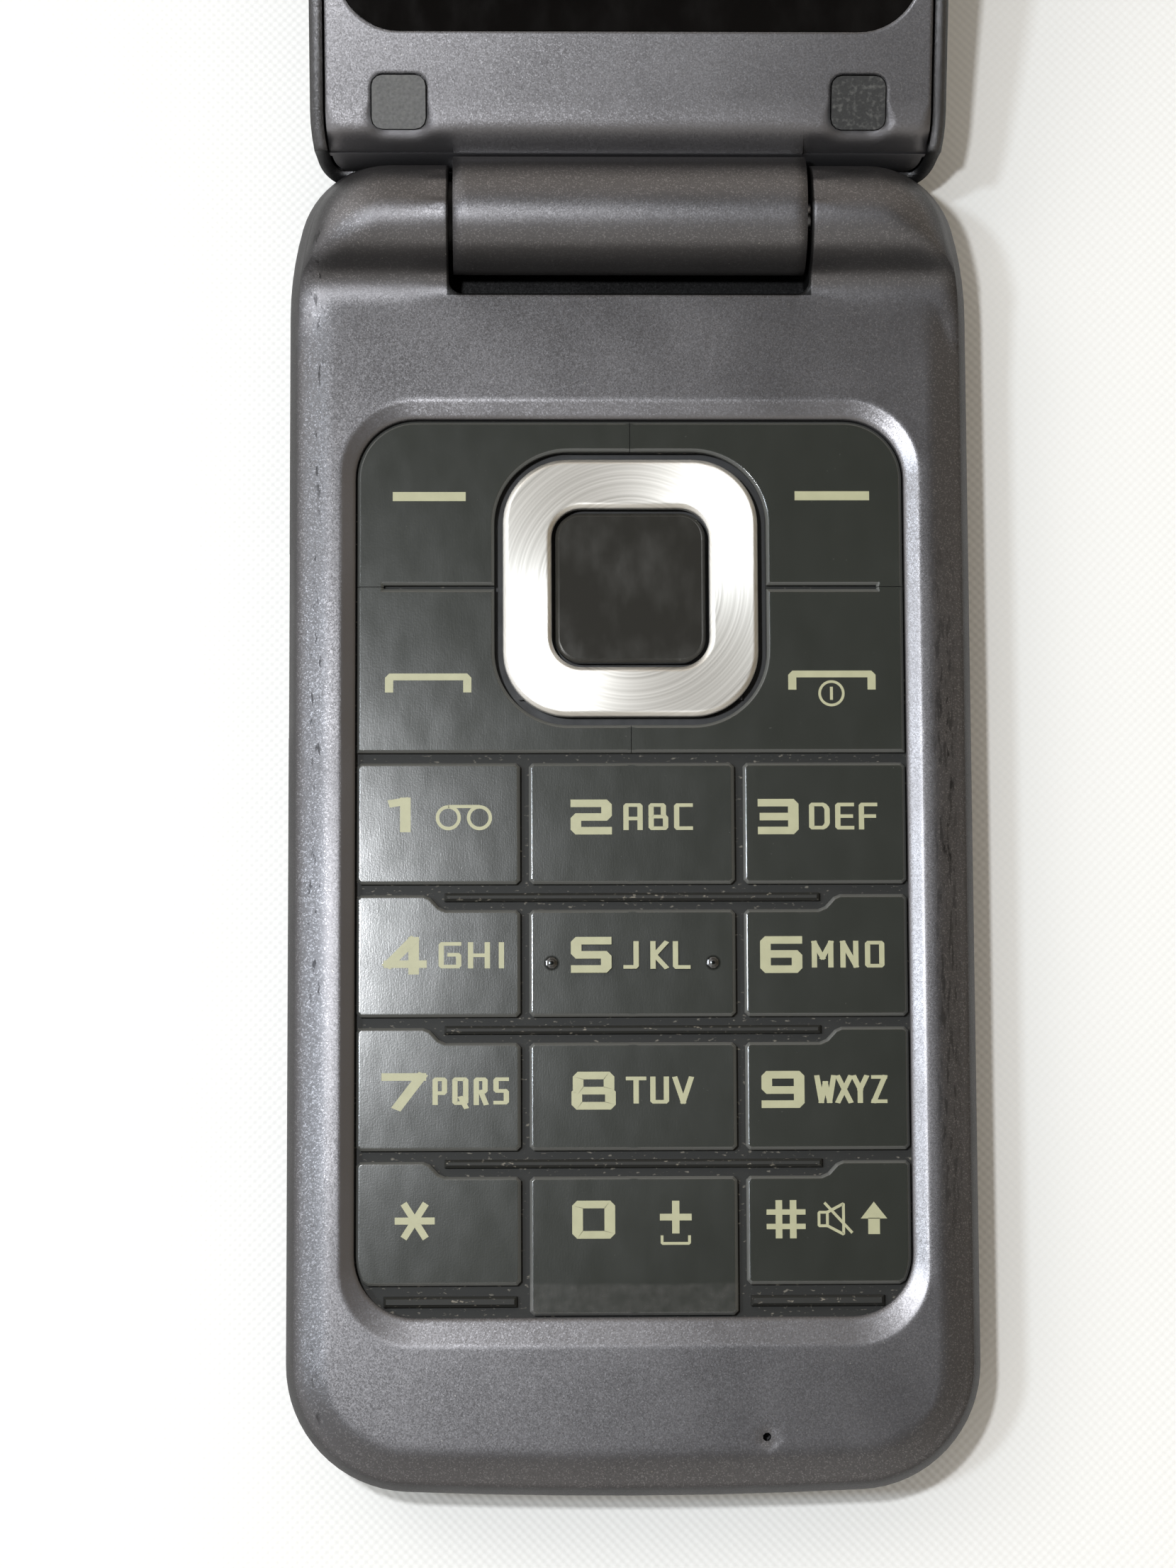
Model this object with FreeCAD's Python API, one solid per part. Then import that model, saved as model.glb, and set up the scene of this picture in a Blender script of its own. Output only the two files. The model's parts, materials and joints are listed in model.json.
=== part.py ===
import FreeCAD, Part
import math
import os

# Flip phone, open and lying on its back, in millimetres.
# X runs across the phone, Y from the foot of the base towards the hinge, Z out of the keypad.
# The origin is the middle of the base's back face.

V = FreeCAD.Vector
os.makedirs("parts", exist_ok=True)

# Driving sizes
base_half_width = 26.0
foot_y = -51.0
face_z = 9.4
hinge_y = 46.0
barrel_half_length = 13.45
lid_thickness = 7.0
open_angle = 162.0
far = 70.0

# Base housing
foot_bow_radius = 394.0
foot_corner_radius = 9.4
ear_corner_radius = 7.0
ear_side_radius = 26.0
ear_side_start_y = hinge_y - 7.5
parting_z = face_z - 4.9
parting_gap = 0.1
edge_steps = ((1.0, 0.0), (0.3, 0.3), (0.0, 1.0))
back_edge = 2.0
wall_top_z = face_z - 2.4
shoulder_z = face_z - 0.65
shoulder_inset = 0.7
slope_inset = 2.95
wall = 1.3
face_underside_z = face_z - 1.4
back_skin = 1.2
lip_height = 0.8
lip_gap = 0.1
lip_thickness = 0.8

# Hinge line, hinge ears and what turns in them
hinge_z = face_z - 0.4
ear_radius = 4.6
ear_blend_radius = 2.4
ear_low_angle = -51.0
ear_ramp = 4.0
stop_reach = 0.8
stop_foot = 1.2
# Each step is how far the ear's outline is drawn in, and its height over the hinge line.
ear_steps = ((0.95, 1.2), (1.6, 2.6), (2.7, 3.6), (4.3, 4.35), (5.4, 5.1))
barrel_radius = 4.5
barrel_gap = 0.35
notch_half_width = barrel_half_length + barrel_gap
notch_front_y = hinge_y - 6.15
notch_wall = 0.95
notch_corner_radius = 1.0
notch_floor_gap = 0.4
inner_end_y = notch_front_y - notch_wall
ear_relief_radius = 5.0
relief_wall = 0.95
stop_gap = 0.35
running_gap = 0.06
cartridge_radius = 2.95
cartridge_bore_radius = 2.35
cartridge_gap = 0.05
cartridge_x = (1.5, barrel_half_length - 0.1)
shaft_radius = 1.0
lug_end_x = base_half_width - 6.0
lug_half_height = 2.4
sleeve_radius = 2.6
sleeve_bore_radius = 1.9
sleeve_x = (-lug_end_x, 6.45 - barrel_half_length)
cable_radius = (1.45, 1.6)

# Keypad opening and its bevel
side_rim = 5.1
bevel_run = 1.1
opening_half_width = base_half_width - side_rim
opening_y = (foot_y + 13.2, hinge_y - 15.8)
opening_radius = 4.6
bevel_half_width = opening_half_width + bevel_run
bevel_y = (opening_y[0] - 2.1, opening_y[1] + 1.4)
bevel_radius = opening_radius + 1.0
bevel_floor_z = face_z - 0.4

# Board and the layers over it
board_z = (face_z - 3.15, face_z - 2.4)
dome_sheet_top_z = board_z[1] + 0.1
dome_top_z = dome_sheet_top_z + 0.15
dome_radius = 2.1
web_z = (dome_sheet_top_z + 0.45, dome_sheet_top_z + 0.75)
web_half_width = opening_half_width + 1.3
web_y = (opening_y[0] - 1.4, opening_y[1] + 1.35)
web_rim = 0.9
bar_width = 0.62
bar_top_z = face_z - 0.85

# Keys
key_gap = 0.15
key_travel = 0.25
key_bottom_z = web_z[1] + key_travel
key_top_z = face_z - 0.7
key_edge = 0.2
key_corner = 0.3
column_groove = 0.65
side_key_width = 12.8
column_groove_x = opening_half_width - side_key_width
row_groove = 0.8
row_top_y = opening_y[1] - 26.4
strip_height = 2.4
row_pitch = (row_top_y - opening_y[0] - strip_height + row_groove) / 4
row_height = row_pitch - row_groove
step_depth = 1.13
step_outer_x = opening_half_width - 5.5
step_inner_x = opening_half_width - 6.55
stem_half = 1.4
stem_bottom_z = dome_top_z + key_travel + 0.06
dot_from_side = 1.7
dot_radius = 0.45
dot_top_radius = 0.2
dot_height = 0.22

# Navigation ring, centre key and the plate around them
plate_bottom_y = row_top_y + 0.77
plate_top_z = face_z - 0.65
nav_y = (plate_bottom_y + opening_y[1]) / 2 - 0.185
ring_half = (9.7, 9.87)
ring_radius = 5.0
ring_hole_half = (6.0, 6.1)
ring_hole_radius = 2.3
ring_z = (face_z - 1.35, face_z - 0.4)
ring_bevel = 0.3
ring_groove = 0.65
centre_half = (5.7, 5.75)
centre_radius = 1.9
centre_z = (face_z - 1.45, face_z - 0.6)
centre_bevel = 0.3
slit_y = nav_y + 0.05
slit_height = 0.3
slit_x = (ring_half[0], opening_half_width - 2.15)
seam = 0.05
plate_stem = ((ring_half[0] + ring_groove + opening_half_width) / 2, 6.8)
actuator_half = 8.5
actuator_hole_half = 6.2
actuator_z = (dome_sheet_top_z + 0.45, dome_sheet_top_z + 0.7)
nub_y = 7.4
nub_half = 0.4

# Lid, drawn shut and then swung open
lid_inset = 1.6
lid_inner_z = face_z + 0.4
lid_outer_z = lid_inner_z + lid_thickness
lid_end_y = hinge_y - 2.0
lid_curve_y = hinge_y - 8.0
lid_curve_radius = 16.0
lid_edge = 2.4
lid_corner_radius = lid_edge + 0.2
lid_rim_z = lid_inner_z + 0.1
lid_rim_bevel = 0.3
lid_rim_width = 1.0
lid_skin = 1.2
lid_skin_z = lid_outer_z - lid_skin
lid_groove = 0.2
lid_end_wall = 1.2
lid_plate_z = lid_inner_z + 1.6
flange_height = 0.6
lid_reach = hinge_y - foot_y - lid_inset
lid_half_width = base_half_width - lid_inset
window_half_width = lid_half_width - 2.15
window_reach = (13.9, lid_reach - 15.4)
window_radius = 4.7
window_thickness = 0.9
window_recess = 1.0
window_gap = 0.05
display_frame = 5.25
display_reach = (window_reach[0] + 10.1, window_reach[1] - 4.0)
bumper_size = (4.1, 4.05)
bumper_corner = 0.8
bumper_gap = 0.1
bumper_floor_z = lid_inner_z + 0.7
bumper_proud = 0.35
lower_bumper = (base_half_width - 8.4, 8.6)
upper_bumper = (lid_half_width - 9.9, lid_reach - 4.4)
camera_y = hinge_y - window_reach[0] - 0.1
camera_half = 4.5
lens_half = 2.4
lens_gap = 0.2
camera_window_radius = 4.25
glass_recess = 0.8
glass_drop = (0.78, 0.05)
sub_half_width = 12.5
sub_reach = (window_reach[0] + 13.1, window_reach[0] + 33.1)
sub_radius = 2.5
sub_frame = (1.3, 1.4)
earpiece_reach = (lid_reach - 11.9, lid_reach - 4.9)
earpiece_slot_reach = (lid_reach - 9.2, lid_reach - 7.6)
earpiece_slot_half = 5.0
neck_reach = (4.75, 6.7)
neck_depth = 1.55
neck_groove = (0.55, 1.5)
shoulder_reach = (4.7, 6.5)
shoulder_depth = 2.0

# Battery, its bay and cover
battery_cover_half_width = base_half_width - 5.0
battery_cover_gone = 30.0
battery_cover_end_y = hinge_y - battery_cover_gone
battery_cover_thickness = 0.9
battery_cover_radius = 3.0
cover_gap = 0.1
bay_x = battery_cover_half_width - 3.5
bay_margin = (12.0, 3.0)
bay_y = (foot_y + bay_margin[0], battery_cover_end_y - bay_margin[1])
bay_roof_z = (board_z[0] - 0.65, board_z[0] - 0.15)
bay_wall = 0.8
battery_gap = 0.5
contact_depth = 3.2
contact_half_width = 6.0
leaf_spots = (-4.2, -1.4, 1.4, 4.2)

# Sockets, side keys, screws and the sounding parts
boss_half = 2.1
screw_spots = [
    (side * (opening_half_width - 1.9), web_y[1] + boss_half + 0.3) for side in (1, -1)
]
screw_head_radius = 1.6
screw_head_z = (1.1, 2.0)
screw_shaft_radius = 0.75
screw_tip_z = face_underside_z - 1.0
jack_y = hinge_y - 19.5
jack_z = board_z[0] - 2.4
jack_bore_radius = 1.8
jack_bore_length = 13.0
jack_mouth_x = 0.1 - base_half_width
jack_half = (2.6, 2.25)
jack_body_x = (jack_mouth_x + 2.3, jack_mouth_x + 14.4)
socket_z = (board_z[0] - 2.95, board_z[0] - 0.35)
socket_half_length = 4.6
socket_x = (bay_x + bay_wall + 0.7, base_half_width - wall)
socket_wall = 0.35
socket_back = 1.0
flap_half_length = 6.5
flap_z = (socket_z[0] - 0.5, socket_z[1] + 0.5)
flap_thickness = 0.95
volume_y = (nav_y - 11.1, nav_y + 2.7)
volume_z = (board_z[0] - 0.85, board_z[0] + 0.65)
volume_depth = 1.8
flange_x = (1.65 - base_half_width, 2.3 - base_half_width)
speaker_half = (6.6, 7.0)
speaker_spot = (9.0, hinge_y - 20.0)
speaker_z = (back_skin + 0.05, board_z[0] - 1.95)
grille_slots = (-2, -1, 0, 1, 2)
grille_pitch = 2.0
grille_slot = 0.9
motor_y = inner_end_y - 3.3
motor_z = board_z[0] - 2.65
motor_radius = (2.0, 1.8)
motor_x = (-7.0, 3.0, 6.5)
microphone_spot = (9.77, foot_y + 4.4)
microphone_half = 1.7
microphone_hole_radius = 0.33


# Tools

def block(x, y, z):
    """Box between two limits on each axis."""
    return Part.makeBox(x[1] - x[0], y[1] - y[0], z[1] - z[0], V(x[0], y[0], z[0]))


def rod(x, y, z, radius):
    """Upright cylinder at (x, y) between two heights."""
    return Part.makeCylinder(radius, z[1] - z[0], V(x, y, z[0]), V(0, 0, 1))


def square_post(x, y, z, half):
    """Upright square post at (x, y) between two heights."""
    return block((x - half, x + half), (y - half, y + half), z)


def rod_x(x, y, z, radius):
    """Cylinder along X between two limits."""
    return Part.makeCylinder(radius, x[1] - x[0], V(x[0], y, z), V(1, 0, 0))


def polar(centre_x, centre_y, radius, degrees, z=0.0):
    """Point at an angle on a circle that lies level at height z."""
    angle = math.radians(degrees)
    return V(centre_x + radius * math.cos(angle), centre_y + radius * math.sin(angle), z)


def arc_outline(arcs, z=0.0):
    """Closed level outline through arcs (centre x, centre y, radius, from, to), joined by lines."""
    edges = []
    last = None
    first = None
    for centre_x, centre_y, radius, start, end in arcs:
        angles = (start, (start + end) / 2, end)
        points = [polar(centre_x, centre_y, radius, angle, z) for angle in angles]
        if last is not None and last.distanceToPoint(points[0]) > 1e-6:
            edges.append(Part.makeLine(last, points[0]))
        edges.append(Part.Arc(*points).toShape())
        first = first or points[0]
        last = points[2]
    if last.distanceToPoint(first) > 1e-6:
        edges.append(Part.makeLine(last, first))
    return Part.Wire(edges)


def rounded(x, y, radius, z=0.0):
    """Level rectangle with four round corners."""
    return arc_outline([
        (x[1] - radius, y[0] + radius, radius, -90, 0),
        (x[1] - radius, y[1] - radius, radius, 0, 90),
        (x[0] + radius, y[1] - radius, radius, 90, 180),
        (x[0] + radius, y[0] + radius, radius, 180, 270),
    ], z)


def prism(wire, z):
    """Upright solid over a level outline."""
    face = Part.Face(wire)
    face.translate(V(0, 0, z[0] - wire.BoundBox.ZMin))
    return face.extrude(V(0, 0, z[1] - z[0]))


def pad(x, y, z, radius):
    """Upright rounded block."""
    return prism(rounded(x, y, radius), z)


def many_sided(x, y, radius, sides):
    """Level outline with equal sides about (x, y)."""
    corners = [polar(x, y, radius, 360.0 * (step + 0.5) / sides) for step in range(sides)]
    return Part.makePolygon(corners + corners[:1])


def eight_sided(x, y, radius):
    """Level outline with eight sides about (x, y)."""
    return many_sided(x, y, radius, 8)


def side_prism(edges, x):
    """Solid with its outline drawn in the YZ plane, between two limits on X."""
    face = Part.Face(Part.Wire(edges))
    face.translate(V(x[0], 0, 0))
    return face.extrude(V(x[1] - x[0], 0, 0))


def side_polygon(points, x):
    """Solid with a straight-sided outline of (y, z) points, between two limits on X."""
    corners = [V(0, y, z) for y, z in points]
    corners.append(corners[0])
    return side_prism(Part.makePolygon(corners).Edges, x)


def loft(wires):
    """Solid with straight flanks through level outlines of the same kind."""
    return Part.makeLoft(wires, True, True)


def mirrored_x(shape):
    """Copy on the other side of the middle plane."""
    return shape.mirror(V(0, 0, 0), V(1, 0, 0))


def both_sides(shape):
    """The shape and its copy across the middle plane, as one list."""
    return [shape, mirrored_x(shape)]


def level_edges(shape, z):
    """Edges that lie flat at height z."""
    return [e for e in shape.Edges if abs(e.BoundBox.ZMin - z) < 1e-4 and abs(e.BoundBox.ZMax - z) < 1e-4]


def upright_edges(shape):
    """Straight edges along Z."""
    return [
        e for e in shape.Edges
        if e.BoundBox.XLength < 1e-4 and e.BoundBox.YLength < 1e-4 and e.BoundBox.ZLength > 1e-3
    ]


def one(shapes):
    """Fuse a list of shapes."""
    result = shapes[0]
    if len(shapes) > 1:
        result = result.fuse(shapes[1:])
    return result.removeSplitter()


def group(shapes):
    """Separate solids kept in one node."""
    return Part.makeCompound(shapes)


def save(node, shape):
    """Write one node's file."""
    shape.exportStep("parts/" + node + ".step")


# Outlines of the base and the lid

foot_corner = V(base_half_width - foot_corner_radius, 0, 0)
foot_bow_centre_y = foot_y + foot_bow_radius
foot_corner.y = foot_bow_centre_y - math.sqrt(
    (foot_bow_radius - foot_corner_radius) ** 2 - foot_corner.x ** 2
)
foot_angle = math.degrees(math.atan2(foot_corner.y - foot_bow_centre_y, foot_corner.x))
ear_side_centre_x = base_half_width - ear_side_radius
ear_corner = V(0, hinge_y + ear_radius - ear_corner_radius, 0)
ear_corner.x = ear_side_centre_x + math.sqrt(
    (ear_side_radius - ear_corner_radius) ** 2 - (ear_corner.y - ear_side_start_y) ** 2
)
ear_angle = math.degrees(math.atan2(
    ear_corner.y - ear_side_start_y, ear_corner.x - ear_side_centre_x
))


def foot_arcs(inset):
    """The bowed foot end and its two corners, from left to right."""
    radius = foot_corner_radius - inset
    return [
        (-foot_corner.x, foot_corner.y, radius, 180, 180 - foot_angle),
        (0, foot_bow_centre_y, foot_bow_radius - inset, -180 - foot_angle, foot_angle),
        (foot_corner.x, foot_corner.y, radius, foot_angle, 0),
    ]


def base_outline(inset, z=0.0):
    """Plan of the base, drawn in by a margin."""
    side = ear_side_radius - inset
    corner = ear_corner_radius - inset
    return arc_outline(foot_arcs(inset) + [
        (ear_side_centre_x, ear_side_start_y, side, 0, ear_angle),
        (ear_corner.x, ear_corner.y, corner, ear_angle, 90),
        (-ear_corner.x, ear_corner.y, corner, 90, 180 - ear_angle),
        (-ear_side_centre_x, ear_side_start_y, side, 180 - ear_angle, 180),
    ], z)


def lid_outline(inset, z=0.0):
    """Plan of the shut lid, drawn in by a margin."""
    side = lid_curve_radius - inset
    corner = lid_corner_radius - inset
    centre_x = lid_half_width - lid_curve_radius
    corner_y = lid_end_y - lid_corner_radius
    rise = corner_y - lid_curve_y
    run = math.sqrt((lid_curve_radius - lid_corner_radius) ** 2 - rise ** 2)
    sweep = math.degrees(math.atan2(rise, run))
    return arc_outline(foot_arcs(inset + lid_inset) + [
        (centre_x, lid_curve_y, side, 0, sweep),
        (centre_x + run, corner_y, corner, sweep, 90),
        (-centre_x - run, corner_y, corner, 90, 180 - sweep),
        (-centre_x, lid_curve_y, side, 180 - sweep, 180),
    ], z)


def hinge_point(radius, degrees):
    """Point in the YZ plane on a circle about the hinge line."""
    angle = math.radians(degrees)
    return V(0, hinge_y + radius * math.cos(angle), hinge_z + radius * math.sin(angle))


def hinge_rod(x, radius):
    """Cylinder on the hinge line."""
    return rod_x(x, hinge_y, hinge_z, radius)


def swung_open(shape):
    """The lid's shape turned from shut to open about the hinge line."""
    copy = shape.copy()
    copy.rotate(V(0, hinge_y, hinge_z), V(1, 0, 0), -open_angle)
    return copy


# Outer form of the base

swing = math.radians(open_angle)
lid_end_reach = hinge_y - lid_end_y


def open_lid_end(height):
    """Point on the open lid's end face, from its height over the hinge line when shut."""
    y = hinge_y - lid_end_reach * math.cos(swing) + height * math.sin(swing)
    z = hinge_z + lid_end_reach * math.sin(swing) + height * math.cos(swing)
    return V(0, y, z)


stop_shift = V(0, stop_gap * math.cos(swing), -stop_gap * math.sin(swing))
stop_low = open_lid_end(lid_outer_z - hinge_z + stop_reach) + stop_shift
blend_height = face_z + ear_blend_radius - hinge_z
blend_reach = math.sqrt((ear_radius + ear_blend_radius) ** 2 - blend_height ** 2)
blend_centre = V(0, hinge_y - blend_reach, hinge_z + blend_height)
blend_angle = math.degrees(math.atan2(blend_height, -blend_reach))
blend_low = V(0, blend_centre.y, face_z)
blend_high = hinge_point(ear_radius, blend_angle)
blend_turn = (blend_low - blend_centre).normalize() + (blend_high - blend_centre).normalize()
blend_middle = blend_centre + blend_turn.normalize() * ear_blend_radius
ear_low = hinge_point(ear_radius, ear_low_angle)
ear_back = hinge_point(ear_radius, (ear_low_angle + blend_angle) / 2)
silhouette = [
    Part.makeLine(V(0, -far, -1), V(0, stop_low.y - stop_foot, -1)),
    Part.makeLine(V(0, stop_low.y - stop_foot, -1), V(0, stop_low.y - stop_foot, 0)),
    Part.makeLine(V(0, stop_low.y - stop_foot, 0), stop_low),
    Part.makeLine(stop_low, ear_low),
    Part.Arc(ear_low, ear_back, blend_high).toShape(),
    Part.Arc(blend_high, blend_middle, blend_low).toShape(),
    Part.makeLine(blend_low, V(0, -far, face_z)),
    Part.makeLine(V(0, -far, face_z), V(0, -far, -1)),
]

body_form = loft(
    [base_outline(back_edge * aside, back_edge * up) for aside, up in edge_steps] + [
        base_outline(0, wall_top_z),
        base_outline(shoulder_inset, shoulder_z),
        base_outline(slope_inset, face_z),
    ]
)
ear_top_z = hinge_z + ear_steps[-1][1]
ear_form = loft(
    [base_outline(0, wall_top_z), base_outline(shoulder_inset, shoulder_z)]
    + [base_outline(inset, hinge_z + height) for inset, height in ear_steps]
)
ear_zone = side_polygon([
    (blend_low.y - ear_ramp, wall_top_z), (blend_low.y - ear_ramp, shoulder_z),
    (blend_low.y, face_z), (blend_low.y, ear_top_z), (far, ear_top_z), (far, wall_top_z),
], (-far, far))
base_form = one([body_form, ear_form.common(ear_zone)])
base_form = base_form.common(side_prism(silhouette, (-far, far)))
notch = block(
    (-notch_half_width, notch_half_width),
    (notch_front_y, far),
    (hinge_z - barrel_radius - notch_floor_gap, ear_top_z + 1),
)
notch = notch.makeFillet(
    notch_corner_radius,
    [e for e in upright_edges(notch) if e.BoundBox.YMin < notch_front_y + 1],
)
base_form = base_form.cut(notch)

# Front half of the base

front = base_form.common(block((-far, far), (-far, far), (parting_z + parting_gap, far)))
cavity = prism(base_outline(wall), (0, face_underside_z))
cavity = cavity.common(block((-far, far), (-far, inner_end_y), (back_skin, far)))
front = front.cut(cavity)
bevel = loft([
    rounded((-opening_half_width, opening_half_width), opening_y, opening_radius, bevel_floor_z),
    rounded((-bevel_half_width, bevel_half_width), bevel_y, bevel_radius, face_z),
])
bevel_top = pad(
    (-bevel_half_width, bevel_half_width), bevel_y, (face_z, face_z + 1), bevel_radius
)
opening = pad(
    (-opening_half_width, opening_half_width), opening_y,
    (face_underside_z - 1, face_z), opening_radius,
)
front = front.cut([bevel, bevel_top, opening])
front_bosses = [
    square_post(x, y, (parting_z + parting_gap, face_underside_z + 0.1), boss_half)
    for x, y in screw_spots
]
front = one([front] + front_bosses)
front_holes = [
    prism(eight_sided(x, y, screw_shaft_radius + 0.05), (0, screw_tip_z + 0.3))
    for x, y in screw_spots
]
front = front.cut(front_holes)

# Holes that pass through both halves

jack_hole = rod_x((-far, jack_mouth_x + 3.0), jack_y, jack_z, jack_bore_radius + 0.6)
flap_recess = block(
    (base_half_width - flap_thickness - 0.05, far),
    (-flap_half_length - cover_gap, flap_half_length + cover_gap),
    (flap_z[0] - cover_gap, flap_z[1] + cover_gap),
)
socket_hole = block(
    (socket_x[0] + socket_back, far),
    (-socket_half_length - 0.3, socket_half_length + 0.3),
    (socket_z[0] - 0.2, socket_z[1] + 0.2),
)
volume_slot = block(
    (-far, -base_half_width + wall + 0.2),
    (volume_y[0] - 0.2, volume_y[1] + 0.2),
    (volume_z[0] - 0.15, volume_z[1] + 0.15),
)
microphone_hole = prism(
    eight_sided(*microphone_spot, microphone_hole_radius), (face_underside_z - 0.5, far)
)
lug_hole = hinge_rod((0, lug_end_x + cartridge_gap), cartridge_radius + cartridge_gap)
lug_hole = lug_hole.common(block(
    (0, far), (0, far),
    (hinge_z - lug_half_height - cartridge_gap, hinge_z + lug_half_height + cartridge_gap),
))
sleeve_hole = hinge_rod((sleeve_x[0] - cartridge_gap, 0), sleeve_radius + cartridge_gap / 2)
front = front.cut([
    jack_hole, flap_recess, socket_hole, volume_slot, microphone_hole, lug_hole, sleeve_hole,
])

# Rear half of the base

rear = base_form.common(block((-far, far), (-far, far), (-1, parting_z - parting_gap)))
rear = rear.cut(cavity)
lip_x = (base_half_width - wall - lip_gap - lip_thickness, base_half_width - wall - lip_gap)
lip_y = (foot_corner.y + 1.0, ear_side_start_y - 1.0)
lip_foot_z = parting_z - parting_gap - 0.6
lip = block(lip_x, lip_y, (lip_foot_z, parting_z + lip_height))
lip_root = block((lip_x[0], lip_x[1] + lip_gap + 0.1), lip_y, (lip_foot_z, parting_z - parting_gap))
lips = both_sides(lip) + both_sides(lip_root)
bay = block(
    (-bay_x - bay_wall, bay_x + bay_wall),
    (bay_y[0] - bay_wall, bay_y[1] + bay_wall),
    (back_skin, bay_roof_z[1]),
)
seat_z = (back_skin - 0.1, back_skin + 0.6)
seat_end_y = battery_cover_end_y + 0.8
cover_seat = [
    block((-battery_cover_half_width - 0.8, battery_cover_half_width + 0.8),
          (foot_corner.y, seat_end_y), seat_z),
    block((-foot_corner.x, foot_corner.x), (foot_y + wall + 1.0, seat_end_y), seat_z),
]
rear_bosses = [
    square_post(x, y, (back_skin - 0.1, parting_z - parting_gap), boss_half) for x, y in screw_spots
]
rear = one([rear, bay] + lips + cover_seat + rear_bosses)
bay_pocket = block((-bay_x, bay_x), bay_y, (-1, bay_roof_z[0]))
cover_recess = pad(
    (-battery_cover_half_width, battery_cover_half_width),
    (-far, battery_cover_end_y), (-1, battery_cover_thickness + cover_gap), battery_cover_radius,
)
counterbores = [rod(x, y, (-1, screw_head_z[1]), screw_head_radius + 0.1) for x, y in screw_spots]
shaft_holes = [
    prism(eight_sided(x, y, screw_shaft_radius + 0.15), (0, parting_z + 1)) for x, y in screw_spots
]
grille = []
for step in grille_slots:
    half_length = speaker_half[0] - 1.6 - abs(step) * grille_slot
    middle = speaker_spot[1] + step * grille_pitch
    grille.append(block(
        (speaker_spot[0] - half_length, speaker_spot[0] + half_length),
        (middle - grille_slot / 2, middle + grille_slot / 2), (-1, back_skin + 1),
    ))
contact_gap = block(
    (-contact_half_width - 0.2, contact_half_width + 0.2),
    (bay_y[1] - 1, bay_y[1] + bay_wall + 0.1), (2.0, bay_roof_z[0]),
)
rear = rear.cut(
    [bay_pocket, cover_recess, jack_hole, flap_recess, socket_hole, contact_gap]
    + counterbores + shaft_holes + grille
)

battery_cover = base_form.common(
    pad(
        (-battery_cover_half_width + cover_gap, battery_cover_half_width - cover_gap),
        (-far, battery_cover_end_y - cover_gap), (-1, battery_cover_thickness),
        battery_cover_radius - cover_gap,
    )
)

save("base_front_cover", front)
save("base_rear_cover", rear)
save("battery_cover", battery_cover)

# Keys

opening_fit = pad(
    (-opening_half_width + key_gap, opening_half_width - key_gap),
    (opening_y[0] + key_gap, opening_y[1] - key_gap), (0, far), opening_radius - key_gap,
)


def key_cap(outline, z):
    """Key top with soft corners, kept inside the keypad opening."""
    corners = [V(x, y, 0) for x, y in outline]
    cap = prism(Part.makePolygon(corners + corners[:1]), z)
    cap = cap.common(opening_fit).removeSplitter()
    cap = cap.makeChamfer(key_corner, upright_edges(cap))
    return cap.makeChamfer(key_edge, level_edges(cap, z[1]))


def with_stem(cap, x, y, z):
    """Key with the post that presses its dome."""
    return one([cap, square_post(x, y, (stem_bottom_z, z + 0.2), stem_half)])


def column_limits(column):
    """Left and right side of a column of digit keys."""
    edge = column_groove_x + column_groove / 2
    inner = column_groove_x - column_groove / 2
    outer = opening_half_width
    return [(-outer, -edge), (-inner, inner), (edge, outer)][column]


def digit_outline(row, column):
    """Outline of a digit key, with the step in its upper edge."""
    left, right = column_limits(column)
    top = row_top_y - row * row_pitch
    bottom = top - row_height
    if row == 3 and column == 1:
        bottom = opening_y[0]
    if row == 0:
        return [(left, bottom), (right, bottom), (right, top), (left, top)]
    low = top - step_depth
    if column == 0:
        upper = [(right, low), (-step_inner_x, low), (-step_outer_x, top), (left, top)]
    elif column == 1:
        upper = [(right, low), (left, low)]
    else:
        upper = [(right, top), (step_outer_x, top), (step_inner_x, low), (left, low)]
    return [(left, bottom), (right, bottom)] + upper


def guide_dot(x, y):
    """Low raised dot that a fingertip can find."""
    low = eight_sided(x, y, dot_radius)
    high = eight_sided(x, y, dot_top_radius)
    low.translate(V(0, 0, key_top_z - 0.05))
    high.translate(V(0, 0, key_top_z + dot_height))
    return loft([low, high])


digit_names = [["key_1", "key_2", "key_3"], ["key_4", "key_5", "key_6"],
               ["key_7", "key_8", "key_9"], ["key_star", "key_0", "key_hash"]]
stem_spots = []
for row, names in enumerate(digit_names):
    for column, name in enumerate(names):
        left, right = column_limits(column)
        stem_x = (left + right) / 2
        stem_y = row_top_y - row * row_pitch - row_height / 2 - step_depth / 2
        stem_spots.append((stem_x, stem_y))
        cap = key_cap(digit_outline(row, column), (key_bottom_z, key_top_z))
        key = with_stem(cap, stem_x, stem_y, key_bottom_z)
        if name == "key_5":
            key = one([key] + both_sides(guide_dot(right - dot_from_side, stem_y)))
        save(name, key)

# The plate around the ring, cut into its four keys

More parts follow.
